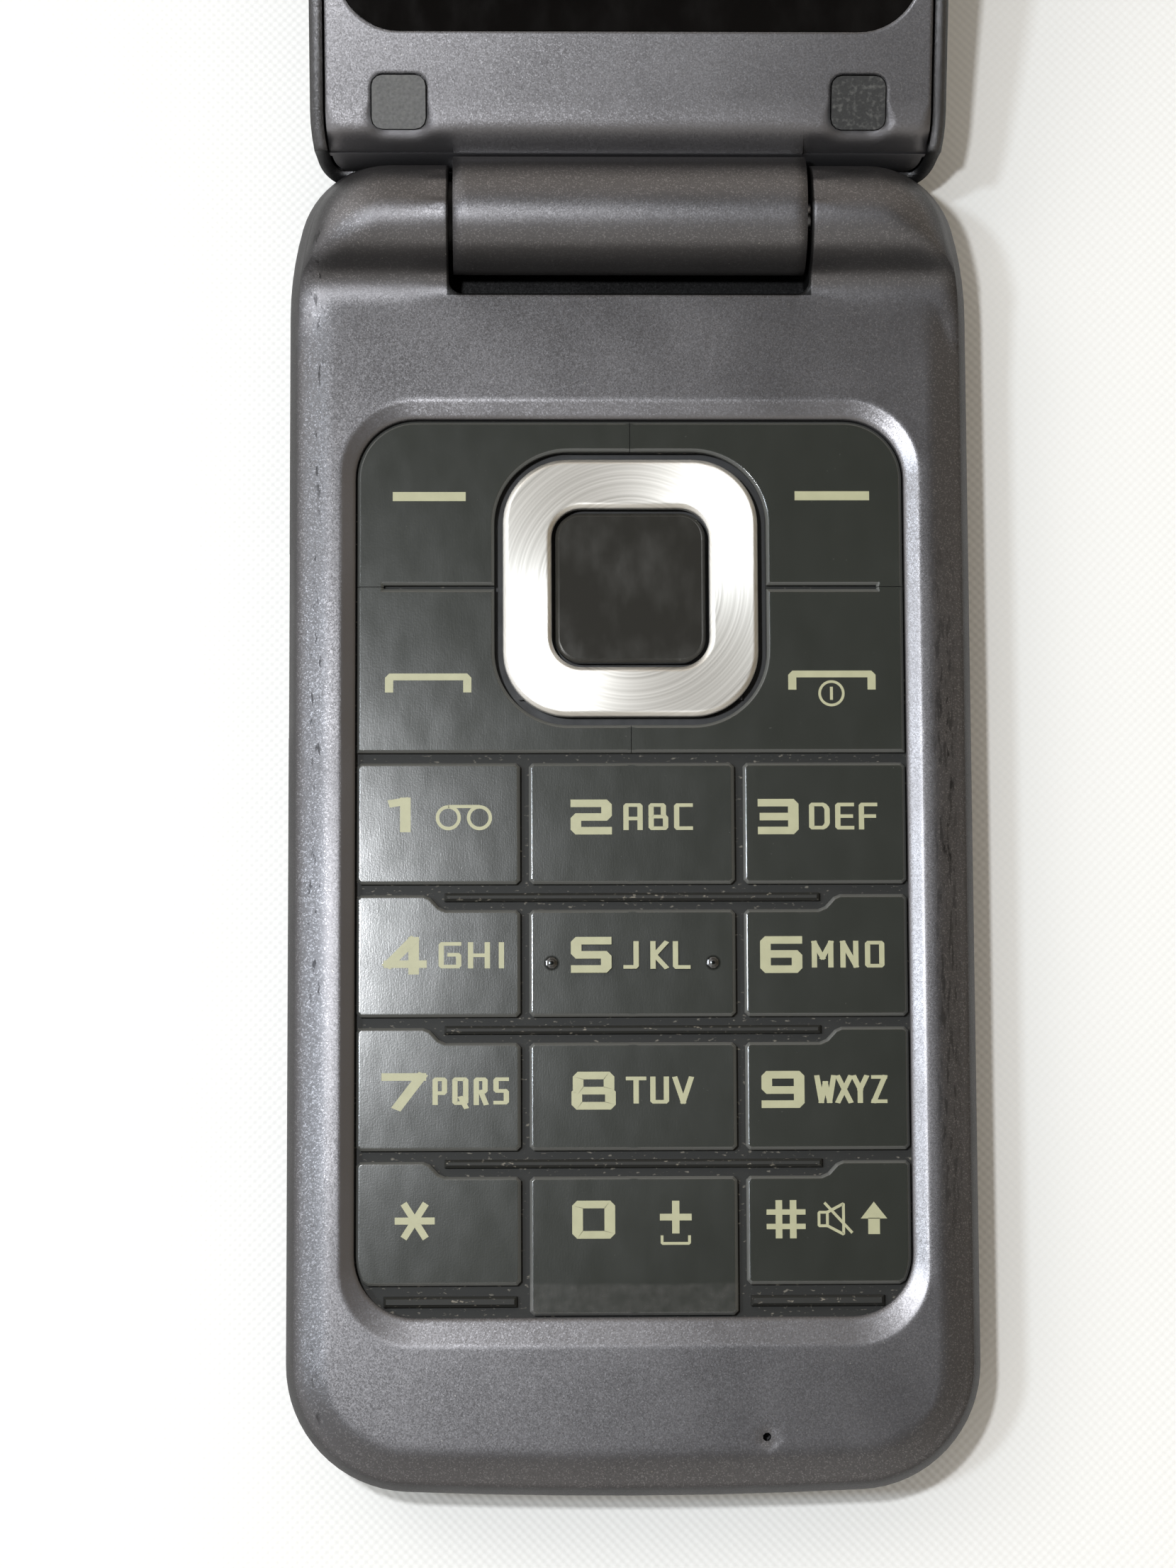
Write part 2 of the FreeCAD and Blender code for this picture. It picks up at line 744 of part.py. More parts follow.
ring_clearance = pad(
    (-ring_half[0] - ring_groove, ring_half[0] + ring_groove),
    (nav_y - ring_half[1] - ring_groove, nav_y + ring_half[1] + ring_groove),
    (0, far), ring_radius + ring_groove,
)
slits = both_sides(block(slit_x, (slit_y - slit_height / 2, slit_y + slit_height / 2), (0, far)))
plate_keys = {
    "soft_key_left": (-1, 1), "soft_key_right": (1, 1), "send_key": (-1, -1), "end_key": (1, -1),
}
for name, (side, end) in plate_keys.items():
    x = sorted((side * seam / 2, side * opening_half_width))
    y = (slit_y + seam / 2, opening_y[1]) if end > 0 else (plate_bottom_y, slit_y - seam / 2)
    plate = block(x, y, (key_bottom_z, plate_top_z)).common(opening_fit)
    plate = plate.cut([ring_clearance] + slits).removeSplitter()
    plate = plate.makeChamfer(key_edge, [
        e for e in level_edges(plate, plate_top_z)
        if abs(e.CenterOfMass.x) > 0.5 and abs(e.CenterOfMass.y - slit_y) > seam
    ])
    stem_x = side * plate_stem[0]
    stem_y = nav_y + end * plate_stem[1]
    stem_spots.append((stem_x, stem_y))
    save(name, with_stem(plate, stem_x, stem_y, key_bottom_z))

# Ring, centre key and the frame that they rock on

ring = pad(
    (-ring_half[0], ring_half[0]), (nav_y - ring_half[1], nav_y + ring_half[1]), ring_z, ring_radius
)
ring = ring.cut(pad(
    (-ring_hole_half[0], ring_hole_half[0]),
    (nav_y - ring_hole_half[1], nav_y + ring_hole_half[1]), (0, far), ring_hole_radius,
))
ring = ring.makeChamfer(ring_bevel, level_edges(ring, ring_z[1]))
ring_nubs = [
    square_post(0, nav_y + side * nub_y, (actuator_z[1] + 0.03, ring_z[0] + 0.1), nub_half)
    for side in (-1, 1)
]
save("nav_ring", one([ring] + ring_nubs))

centre = pad(
    (-centre_half[0], centre_half[0]), (nav_y - centre_half[1], nav_y + centre_half[1]),
    centre_z, centre_radius,
)
centre = centre.makeChamfer(centre_bevel, level_edges(centre, centre_z[1]))
save("centre_key", with_stem(centre, 0, nav_y, centre_z[0]))

actuator = square_post(0, nav_y, actuator_z, actuator_half)
actuator = actuator.cut(square_post(0, nav_y, (0, far), actuator_hole_half))
save("nav_actuator", actuator)

# Web under the keys

web = block((-web_half_width, web_half_width), web_y, (dome_sheet_top_z, web_z[1]))
web = web.cut(block(
    (-web_half_width + web_rim, web_half_width - web_rim),
    (web_y[0] + web_rim, web_y[1] - web_rim), (0, web_z[0]),
))
bars = []
for row in (1, 2, 3):
    middle = row_top_y - row * row_pitch + row_groove / 2 - step_depth / 2
    bar = block(
        (-step_inner_x + 0.2, step_inner_x - 0.2),
        (middle - bar_width / 2, middle + bar_width / 2), (web_z[0], bar_top_z),
    )
    bars.append(bar.makeChamfer(0.2, level_edges(bar, bar_top_z)))
strip_top = row_top_y - 3 * row_pitch - row_height
strip_y = ((opening_y[0] + strip_top) / 2 - 0.4, (opening_y[0] + strip_top) / 2 + 0.4)
strip_x = (column_groove_x + column_groove, opening_half_width - 2.2)
strip_bar = block(strip_x, strip_y, (web_z[0], bar_top_z))
strip_bar = strip_bar.makeChamfer(0.2, level_edges(strip_bar, bar_top_z))
web = one([web] + bars + both_sides(strip_bar))
ring_room = block(
    (-ring_half[0] - ring_groove, ring_half[0] + ring_groove),
    (nav_y - ring_half[1] - ring_groove, nav_y + ring_half[1] + ring_groove), (0, far),
)
ring_room = ring_room.makeChamfer(0.6 * ring_radius, upright_edges(ring_room))
web = web.cut(
    [ring_room] + [square_post(x, y, (0, far), stem_half + 0.3) for x, y in stem_spots]
)
save("keypad_web", web)

dome_spots = stem_spots + [(0, nav_y)]
dome_sheet = block(
    (0.4 - opening_half_width, opening_half_width - 0.4),
    (opening_y[0] + 0.3, opening_y[1] - 0.2), (board_z[1], dome_sheet_top_z),
)
domes = [
    prism(many_sided(x, y, dome_radius, 6), (dome_sheet_top_z - 0.05, dome_top_z))
    for x, y in dome_spots
]
save("dome_sheet", one([dome_sheet] + domes))

# Board and what sits in the base

board_inset = 2.6
board_y = (foot_y + board_inset + 0.4, inner_end_y - 1.9)
board = block((board_inset - base_half_width, base_half_width - board_inset), board_y, board_z)
board = board.makeChamfer(foot_corner_radius - board_inset, [
    e for e in upright_edges(board) if e.BoundBox.YMax < board_y[0] + 1
])
board = board.cut([square_post(x, y, (0, far), boss_half + 0.2) for x, y in screw_spots])
save("main_board", board)

shield_wall = 0.2
shield_tops = [
    block((jack_body_x[1] + 2.5, base_half_width - 10.0),
          (bay_y[1] + 4.0, bay_y[1] + 18.0), (board_z[0] - 1.4, board_z[0])),
    block((-14.0, 14.0), (foot_y + 4.0, bay_y[0] - 2.0), (board_z[0] - 1.55, board_z[0])),
]
shields = []
for shield in shield_tops:
    bounds = shield.BoundBox
    inside = block(
        (bounds.XMin + shield_wall, bounds.XMax - shield_wall),
        (bounds.YMin + shield_wall, bounds.YMax - shield_wall), (bounds.ZMin + shield_wall, far),
    )
    shields.append(shield.cut(inside))
save("shield_cans", group(shields))

battery = block(
    (battery_gap - bay_x, bay_x - battery_gap), (bay_y[0] + battery_gap, bay_y[1] - battery_gap),
    (battery_cover_thickness + 0.25, bay_roof_z[0] - 1.15),
)
battery = battery.makeChamfer(0.5, upright_edges(battery))
save("battery", battery)

contact_block = block(
    (-contact_half_width, contact_half_width), (bay_y[1], bay_y[1] + contact_depth),
    (2.2, bay_roof_z[0] - 0.2),
)
contact_leaves = [
    block((x - 0.6, x + 0.6), (bay_y[1] + 0.05 - battery_gap, bay_y[1] + 0.1),
          (2.6, bay_roof_z[0] - 1.6))
    for x in leaf_spots
]
save("battery_contacts", one([contact_block] + contact_leaves))

sim_half_width = 12.5
sim_y = (-8.0, 7.0)
sim_corner = 3.0
sim_z = (bay_roof_z[0] - 0.88, bay_roof_z[0] - 0.13)
sim_gap = 0.1
sim_card = block((-sim_half_width, sim_half_width), sim_y, sim_z)
sim_card = sim_card.makeChamfer(sim_corner, [
    e for e in upright_edges(sim_card) if e.CenterOfMass.x > 0 and e.CenterOfMass.y > sim_y[0] + 1
])
save("sim_card", sim_card)
holder_half_width = sim_half_width + 1.0
sim_holder = block(
    (-holder_half_width, holder_half_width), (sim_y[0] + 2.0, sim_y[1] + 1.1),
    (sim_z[0] - 0.17, bay_roof_z[0] - 0.02),
)
sim_holder = sim_holder.cut([
    block((-sim_half_width - sim_gap, sim_half_width + sim_gap), (-far, sim_y[1] + sim_gap),
          (sim_z[0] - 0.04, sim_z[1] + 0.04)),
    block((2.0 - sim_half_width, sim_half_width - 2.0), (-far, sim_y[1] - 1.5), (0, sim_z[0] + 0.3)),
])
save("sim_holder", sim_holder)

microphone = square_post(
    *microphone_spot, (board_z[1] + 0.02, face_underside_z - 0.1), microphone_half
)
save("microphone", microphone)

loudspeaker = block(
    (speaker_spot[0] - speaker_half[0], speaker_spot[0] + speaker_half[0]),
    (speaker_spot[1] - speaker_half[1], speaker_spot[1] + speaker_half[1]), speaker_z,
)
save("loudspeaker", loudspeaker.makeChamfer(1.5, upright_edges(loudspeaker)))

motor = rod_x(motor_x[:2], motor_y, motor_z, motor_radius[0])
motor_weight = rod_x(motor_x[1:], motor_y, motor_z, motor_radius[1])
motor_weight = motor_weight.cut(block((0, far), (0, motor_y), (0, far)))
save("vibration_motor", one([motor, motor_weight]))

antenna_y = (foot_y + 2.8, bay_y[0] - bay_wall - 0.8)
antenna = block((-13.0, 13.0), antenna_y, (2.0, board_z[0] - 2.05))
antenna = antenna.cut(block((-11.5, 11.5), (antenna_y[0] + 1.5, antenna_y[1] - 1.5), (2.8, far)))
save("antenna", antenna)

jack_body = block(
    jack_body_x, (jack_y - jack_half[0], jack_y + jack_half[0]),
    (jack_z - jack_half[1], jack_z + jack_half[1]),
)
jack_collar = rod_x((jack_mouth_x, jack_body_x[0] + 0.1), jack_y, jack_z, jack_bore_radius + 0.5)
jack_bore = rod_x((jack_mouth_x - 1, jack_mouth_x + jack_bore_length), jack_y, jack_z, jack_bore_radius)
save("headphone_jack", one([jack_body, jack_collar]).cut(jack_bore))

socket = block(socket_x, (-socket_half_length, socket_half_length), socket_z)
socket = socket.cut(block(
    (socket_x[0] + socket_back, far),
    (socket_wall - socket_half_length, socket_half_length - socket_wall),
    (socket_z[0] + socket_wall, socket_z[1] - socket_wall),
))
tongue_middle_z = (socket_z[0] + socket_z[1]) / 2
tongue = block(
    (socket_x[0] + 0.5, socket_x[1] - 0.7), (1.2 - socket_half_length, socket_half_length - 1.2),
    (tongue_middle_z - 0.3, tongue_middle_z + 0.3),
)
save("charging_socket", one([socket, tongue]))

flap = block(
    (base_half_width - flap_thickness, base_half_width - 0.02),
    (-flap_half_length, flap_half_length), flap_z,
)
flap = flap.makeChamfer(0.25, [
    e for e in flap.Edges if e.BoundBox.XMin > base_half_width - 0.1 and e.BoundBox.XLength < 0.01
])
save("port_cover", flap)

volume_cap = block((0.05 - base_half_width, volume_depth - base_half_width), volume_y, volume_z)
volume_cap = volume_cap.makeChamfer(0.2, [
    e for e in volume_cap.Edges if e.BoundBox.XMax < -base_half_width + 0.1
])
volume_flange = block(
    flange_x, (volume_y[0] - 0.9, volume_y[1] + 0.9), (volume_z[0] - 0.05, volume_z[1] + 0.3)
)
save("volume_key", one([volume_cap, volume_flange]))

screws = []
for x, y in screw_spots:
    head = rod(x, y, screw_head_z, screw_head_radius)
    shaft = prism(eight_sided(x, y, screw_shaft_radius), (screw_head_z[1] - 0.1, screw_tip_z))
    screws.append(one([head, shaft]))
save("base_screws", group(screws))

# Hinge parts

room_x = (cartridge_x[0] + 1.0, cartridge_x[1])
shaft_bore = hinge_rod((0, far), shaft_radius + running_gap)
cartridge = hinge_rod(cartridge_x, cartridge_radius)
cartridge = cartridge.cut(hinge_rod((room_x[0], far), cartridge_bore_radius))
save("hinge_housing", swung_open(cartridge))

cam_x = (room_x[1] - 2.3, room_x[1] - 0.1)
cam = hinge_rod(cam_x, cartridge_bore_radius - 0.1)
save("hinge_cam", swung_open(cam.cut(shaft_bore)))

# The spring's wire is square and runs in short straight steps round the shaft.
spring_x = (room_x[0] + 0.3, cam_x[0] - 0.3)
spring_radius = (1.4, 1.95)
spring_wire = 0.55
spring_turns = 3
steps_per_turn = 12
spring_rise = (spring_x[1] - spring_x[0] - spring_wire) / (spring_turns * steps_per_turn)


def spring_section(step):
    """The four corners of the wire after a number of steps."""
    x = spring_x[0] + spring_rise * step
    low = hinge_point(spring_radius[0], 360.0 * step / steps_per_turn)
    high = hinge_point(spring_radius[1], 360.0 * step / steps_per_turn)
    return [
        V(x, low.y, low.z), V(x, high.y, high.z),
        V(x + spring_wire, high.y, high.z), V(x + spring_wire, low.y, low.z),
    ]


def flat_face(*corners):
    """Face between corners that lie in one plane."""
    return Part.Face(Part.makePolygon(list(corners) + [corners[0]]))


sections = [spring_section(step) for step in range(spring_turns * steps_per_turn + 1)]
spring_faces = [flat_face(*sections[0]), flat_face(*sections[-1])]
for near, away in zip(sections, sections[1:]):
    spring_faces.append(flat_face(near[1], near[2], away[2], away[1]))
    spring_faces.append(flat_face(near[3], near[0], away[0], away[3]))
    spring_faces.append(flat_face(near[0], near[1], away[1]))
    spring_faces.append(flat_face(near[0], away[1], away[0]))
    spring_faces.append(flat_face(near[2], near[3], away[3]))
    spring_faces.append(flat_face(near[2], away[3], away[2]))
spring = Part.Solid(Part.makeShell(spring_faces))
save("hinge_spring", swung_open(spring))

lug = hinge_rod((notch_half_width + 0.2, lug_end_x), cartridge_radius)
lug = lug.common(block(
    (0, far), (0, far), (hinge_z - lug_half_height, hinge_z + lug_half_height)
))
shaft = hinge_rod((room_x[0] + 0.2, lug_end_x - 1), shaft_radius)
save("hinge_shaft", one([lug, shaft]))

sleeve = hinge_rod(sleeve_x, sleeve_radius).cut(hinge_rod((-far, 0), sleeve_bore_radius))
save("hinge_sleeve", sleeve)

cable_x = (sleeve_x[0] + 0.5, sleeve_x[1] - 1.0)
cable_folds = 12


def cable_layer(x, radius):
    """Straight-sided prism about the hinge line."""
    corners = [hinge_point(radius, 360.0 * (step + 0.5) / cable_folds) for step in range(cable_folds)]
    return side_polygon([(corner.y, corner.z) for corner in corners], x)


cable = cable_layer(cable_x, cable_radius[1]).cut([
    cable_layer((-far, 0), cable_radius[0]),
    block((-far, 0), (hinge_y, hinge_y + 3), (hinge_z - 0.3, hinge_z + 0.3)),
])
save("flex_cable", cable)

# Lid


def reach(low, high):
    """Limits on Y of the shut lid between two distances from the hinge line."""
    return (hinge_y - high, hinge_y - low)


def within(limits, margin):
    """Limits drawn in at both ends by a margin."""
    return (limits[0] + margin, limits[1] - margin)


def across(half, margin=0.0):
    """Limits on X about the middle, drawn in by a margin."""
    return (margin - half, half - margin)


# Outer cover

outer = loft(
    [lid_outline(lid_rim_bevel, lid_rim_z), lid_outline(0, lid_rim_z + lid_rim_bevel)]
    + [lid_outline(lid_edge * aside, lid_outer_z - lid_edge * up) for aside, up in reversed(edge_steps)]
)
lid_cavity = prism(lid_outline(lid_rim_width), (0, lid_skin_z))
lid_cavity = lid_cavity.common(block((-far, far), (-far, lid_end_y - lid_end_wall), (0, far)))
barrel_room = block(
    across(barrel_half_length, -0.15), (lid_end_y - lid_end_wall - 2.8, far), (0, lid_skin_z)
)
ear_room = both_sides(hinge_rod((barrel_half_length, far), ear_relief_radius))
glass_floor_z = lid_outer_z - glass_recess
sub_y = reach(*sub_reach)
outer = outer.cut([lid_cavity, barrel_room] + ear_room)
outer = outer.cut([
    rod(0, camera_y, (glass_floor_z, far), camera_window_radius + window_gap),
    square_post(0, camera_y, (0, far), lens_half + lens_gap),
    pad(across(sub_half_width), sub_y, (glass_floor_z, far), sub_radius),
    block(across(sub_half_width, sub_frame[0]), within(sub_y, sub_frame[1]), (0, far)),
])
save("flip_outer_cover", swung_open(outer))

# Inner cover with its neck, the curved walls that face the ears, and the barrel

plate_outline = lid_outline(lid_rim_width + lid_groove)
plate = one([
    prism(plate_outline, (lid_inner_z, lid_plate_z)),
    prism(lid_outline(lid_rim_width + 0.05), (lid_plate_z - flange_height, lid_plate_z)),
])
clear_radius = ear_relief_radius + 0.05
curved_walls = both_sides(
    hinge_rod((barrel_half_length, far), clear_radius + relief_wall).common(
        prism(plate_outline, (lid_inner_z, lid_skin_z - 0.05))
    )
)
plate = one([plate] + curved_walls)
plate = plate.common(block((-far, far), (-far, lid_end_y - lid_end_wall - 0.05), (0, far)))
shoulder = side_polygon([
    (hinge_y - shoulder_reach[1], lid_inner_z),
    (hinge_y - shoulder_reach[0], hinge_z + shoulder_depth),
    (hinge_y - shoulder_reach[0], 0),
    (hinge_y - shoulder_reach[1], 0),
], (barrel_half_length, far))
neck_end_y = hinge_y - neck_reach[1] - 1.0
plate = plate.cut(
    both_sides(hinge_rod((barrel_half_length, far), clear_radius)) + both_sides(shoulder)
    + [block(across(barrel_half_length), (neck_end_y, far), (0, far))]
)
neck = side_polygon([
    (neck_end_y - 0.5, lid_inner_z),
    (hinge_y - neck_reach[1], lid_inner_z),
    (hinge_y - neck_reach[0], hinge_z + neck_depth),
    (hinge_y - neck_reach[0] + neck_groove[0], hinge_z + neck_depth + neck_groove[1]),
    (hinge_y - 1.0, hinge_z + neck_depth + neck_groove[1]),
    (hinge_y - 1.0, hinge_z + 4.0),
    (lid_end_y, hinge_z + 4.6),
    (lid_end_y, lid_skin_z - 0.05),
    (lid_end_y - 3.9, lid_skin_z - 0.05),
    (lid_end_y - 3.9, lid_plate_z),
    (neck_end_y - 0.5, lid_plate_z),
], across(barrel_half_length))
barrel = hinge_rod(across(barrel_half_length), barrel_radius)
inner = one([plate, neck, barrel])
bumper_spots = [
    (side * x, hinge_y - gone) for x, gone in (lower_bumper, upper_bumper) for side in (-1, 1)
]


def bumper(spot, z, margin):
    """Small rubber pad with softened corners, larger by a margin all round."""
    radius = bumper_corner + margin
    reach_x, reach_y = [size / 2 + margin - radius for size in bumper_size]
    corners = []
    for side, end, start in ((1, 1, 0), (-1, 1, 90), (-1, -1, 180), (1, -1, 270)):
        centre = (spot[0] + side * reach_x, spot[1] + end * reach_y)
        corners += [polar(*centre, radius, start + 30 * step) for step in range(4)]
    return prism(Part.makePolygon(corners + corners[:1]), z)


window_y = reach(*window_reach)
inner = inner.cut([
    hinge_rod((cartridge_x[0] - cartridge_gap, far), cartridge_radius + cartridge_gap),
    hinge_rod((-far, sleeve_x[1] + 0.1), sleeve_radius + running_gap),
    pad(across(window_half_width), window_y, (0, lid_inner_z + window_recess), window_radius),
    block(across(window_half_width, display_frame), reach(*display_reach), (0, far)),
    block(across(earpiece_slot_half), reach(*earpiece_slot_reach), (0, far)),
])
inner = inner.cut([bumper(spot, (0, bumper_floor_z), bumper_gap) for spot in bumper_spots])
save("flip_inner_cover", swung_open(inner))

# Pieces carried by the lid

bumper_z = (lid_inner_z - bumper_proud, bumper_floor_z - 0.02)
save("lid_bumpers", swung_open(group([bumper(spot, bumper_z, 0) for spot in bumper_spots])))

window_z = (lid_inner_z + 0.03, lid_inner_z + 0.03 + window_thickness)
window = pad(
    across(window_half_width, window_gap), within(window_y, window_gap),
    window_z, window_radius - window_gap,
)
save("display_window", swung_open(window))

glass_z = (lid_outer_z - glass_drop[0], lid_outer_z - glass_drop[1])
camera_window = rod(0, camera_y, glass_z, camera_window_radius)
save("camera_window", swung_open(camera_window))
sub_window = pad(
    across(sub_half_width, window_gap), within(sub_y, window_gap), glass_z, sub_radius - window_gap
)
save("sub_display_window", swung_open(sub_window))

camera = square_post(0, camera_y, (lid_plate_z + 0.1, lid_skin_z - 0.6), camera_half)
lens = square_post(0, camera_y, (lid_skin_z - 0.7, lid_skin_z + 0.3), lens_half)
save("camera_module", swung_open(one([camera, lens])))

lid_parts = {
    "display_module": block(
        across(window_half_width, display_frame - 2.0),
        within(reach(*display_reach), -2.25), (lid_plate_z + 0.05, lid_plate_z + 2.2),
    ),
    "flip_board": block(
        across(window_half_width, display_frame - 3.5),
        within(reach(*display_reach), -4.75), (lid_skin_z - 1.7, lid_skin_z - 1.1),
    ),
    "sub_display": block(
        across(sub_half_width, sub_frame[0] + 0.2),
        within(sub_y, sub_frame[1] + 0.2), (lid_skin_z - 1.0, lid_skin_z + 0.3),
    ),
    "earpiece": block(
        across(earpiece_slot_half, -2.0), reach(*earpiece_reach), (lid_plate_z + 0.1, lid_plate_z + 2.2)
    ),
    "earpiece_mesh": block(
        across(earpiece_slot_half, 0.05), within(reach(*earpiece_slot_reach), 0.05),
        (lid_plate_z - 0.5, lid_plate_z - 0.05),
    ),
    "magnet": block(
        (window_half_width - 4.25, window_half_width - 2.25),
        reach(lid_reach - 11.4, lid_reach - 7.4), (lid_plate_z + 0.1, lid_plate_z + 1.3),
    ),
}
for name, shape in lid_parts.items():
    save(name, swung_open(shape))
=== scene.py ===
import json
import math
import bpy
from mathutils import Matrix, Vector


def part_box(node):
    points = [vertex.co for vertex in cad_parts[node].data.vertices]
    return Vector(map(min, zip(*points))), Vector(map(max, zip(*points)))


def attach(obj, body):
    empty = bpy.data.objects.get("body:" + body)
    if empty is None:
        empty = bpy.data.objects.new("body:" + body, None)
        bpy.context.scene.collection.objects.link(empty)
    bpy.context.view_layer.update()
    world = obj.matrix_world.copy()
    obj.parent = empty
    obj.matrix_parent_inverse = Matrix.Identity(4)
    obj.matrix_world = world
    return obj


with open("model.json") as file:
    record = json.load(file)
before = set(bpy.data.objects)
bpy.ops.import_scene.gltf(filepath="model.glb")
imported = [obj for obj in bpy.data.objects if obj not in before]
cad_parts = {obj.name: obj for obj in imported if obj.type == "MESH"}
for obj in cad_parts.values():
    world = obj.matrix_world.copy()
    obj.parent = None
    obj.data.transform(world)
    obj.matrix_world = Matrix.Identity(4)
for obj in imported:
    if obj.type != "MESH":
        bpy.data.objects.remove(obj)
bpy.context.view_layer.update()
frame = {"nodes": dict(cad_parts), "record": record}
nodes = frame["nodes"]
MM = 0.001
METRE = 1000.0
scene = bpy.context.scene

# Places on the open phone, in millimetres. A pair runs from where a feature starts to where it is full.

opening_half_width = 22.1
opening_middle_y = -4.2
opening_half_length = 35.9
rim_x = (opening_half_width, 22.8)
foot_y = (-44.5, -46.0)
ear_x = (14.6, 17.0)
ear_y = (33.5, 36.5)
notch_half_width = 14.0
notch_middle_y = 45.0
notch_half_length = 5.25
wall_softness = 0.1
rim_dirt_x = 23.9
rim_grime_x = 23.7
rim_grime_y = -6.0
lid_turn_y = (54.5, 52.5)
lid_slope_y = 52.4
ring_centre = (0.0, 17.2)
dot_x = 6.08
dot_y = -11.37
dot_radius = (0.62, 0.42)
key_foot_y = (-35.0, -35.25)

# Radii that the paint gives to edges, in millimetres

narrow_edge = 0.5
rim_edge = 1.5
ear_edge = 2.2
lid_edge = (0.4, 1.6)
lid_rim_edge = 0.8
battery_cover_edge = 1.0
key_edge = 0.13
ring_edge = 0.25
edge_samples = 6

# Most of a noise's values lie between these two.

noise_middle = (0.3, 0.7)


def put(socket, value):
    """Link an output to a socket, or set the socket to a plain value."""
    if isinstance(value, bpy.types.NodeSocket):
        socket.id_data.links.new(value, socket)
    elif socket.type == "RGBA":
        socket.default_value = (*value, 1.0)
    else:
        socket.default_value = value


def scaled(colour, factor):
    """The colour made darker or brighter, up to white."""
    return [min(1.0, part * factor) for part in colour]


class Tree:
    """A node tree and the short words that build it."""

    def __init__(self, tree):
        self.tree = tree

    def node(self, kind, settings=None, **inputs):
        """Add a node, with its settings and its inputs by name or by number."""
        node = self.tree.nodes.new("ShaderNode" + kind)
        for name, value in (settings or {}).items():
            setattr(node, name, value)
        for name, value in inputs.items():
            key = int(name[1:]) if name[0] == "i" and name[1:].isdigit() else name.replace("_", " ")
            put(node.inputs[key], value)
        return node

    def arithmetic(self, kind, operation, values):
        """Add a node that works on its values in turn."""
        node = self.node(kind, {"operation": operation})
        for socket, value in zip(node.inputs, values):
            put(socket, value)
        return node.outputs[0]

    def math(self, operation, *values):
        return self.arithmetic("Math", operation, values)

    def vector(self, operation, *values):
        return self.arithmetic("VectorMath", operation, values)

    def plus(self, a, b):
        return self.math("ADD", a, b)

    def less(self, a, b):
        return self.math("SUBTRACT", a, b)

    def times(self, a, b):
        return self.math("MULTIPLY", a, b)

    def span(self, value, low, high, to_low=0.0, to_high=1.0, curve="LINEAR"):
        """Value from low..high spread over to_low..to_high, held at both ends."""
        return self.node(
            "MapRange", {"clamp": True, "interpolation_type": curve},
            Value=value, From_Min=low, From_Max=high, To_Min=to_low, To_Max=to_high,
        ).outputs[0]


class Paint(Tree):
    """One material. Its places are the object's own millimetres, so it stays on its piece in every pose."""

    def __init__(self, name, **sockets):
        self.material = bpy.data.materials.new(name)
        self.material.use_nodes = True
        super().__init__(self.material.node_tree)
        self.shader = self.tree.nodes["Principled BSDF"]
        self.set(**sockets)

    def set(self, **sockets):
        """Set or link sockets of the shader, written with underscores for spaces."""
        for name, value in sockets.items():
            put(self.shader.inputs[name.replace("_", " ")], value)

    def feeding(self, name):
        """The output that is linked to one of the shader's sockets."""
        return self.shader.inputs[name].links[0].from_socket

    def place(self, scale=(1.0, 1.0, 1.0), offset=(0.0, 0.0, 0.0)):
        """Object coordinates in millimetres, scaled along each axis."""
        source = self.node("TexCoord").outputs["Object"]
        size = tuple(METRE * s for s in scale)
        return self.node("Mapping", Vector=source, Scale=size, Location=offset).outputs[0]

    def axes(self):
        """The x and y of the place, in millimetres."""
        return self.node("SeparateXYZ", Vector=self.place()).outputs[:2]

    def noise(self, size, detail=3.0, stretch=(1.0, 1.0, 1.0), offset=(0.0, 0.0, 0.0)):
        """Soft noise whose blots are about size millimetres across."""
        where = self.place(tuple(1.0 / (size * s) for s in stretch), offset)
        return self.node("TexNoise", Vector=where, Scale=1.0, Detail=detail).outputs["Fac"]

    def cells(self, size):
        """Random colour of small cells, size millimetres across."""
        where = self.place((1.0 / size,) * 3)
        return self.node("TexVoronoi", Vector=where, Scale=1.0).outputs["Color"]

    def mix(self, share, a, b):
        """Colour from a to b."""
        return self.node("Mix", {"data_type": "RGBA"}, i0=share, i6=a, i7=b).outputs[2]

    def tint(self, shade, colour, where, strength):
        """Shade turned towards a colour by strength, where the mask is 1."""
        return self.mix(self.times(where, strength), shade, colour)

    def band(self, value, middle, half, soft):
        """1 near middle, 0 further off than half plus soft."""
        away = self.math("ABSOLUTE", self.less(value, middle))
        return self.span(away, half + soft, half)

    def distance(self, dx, dy):
        """Length of the way dx across and dy along."""
        return self.math("SQRT", self.plus(self.times(dx, dx), self.times(dy, dy)))

    def facing(self):
        """How much the surface looks along the object's own z, from 1 to -1."""
        normal = self.node("TexCoord").outputs["Normal"]
        return self.node("SeparateXYZ", Vector=normal).outputs[2]

    def rounded(self, radius):
        """Normal as if every edge were rounded over a radius in millimetres."""
        return self.node("Bevel", {"samples": edge_samples}, Radius=self.times(radius, MM)).outputs[0]

    def bump(self, height, depth, normal=None):
        """Surface relief of a real depth in millimetres."""
        node = self.node("Bump", Strength=1.0, Distance=depth * MM, Height=height)
        if normal is not None:
            put(node.inputs["Normal"], normal)
        self.set(Normal=node.outputs[0])
        return node.outputs[0]


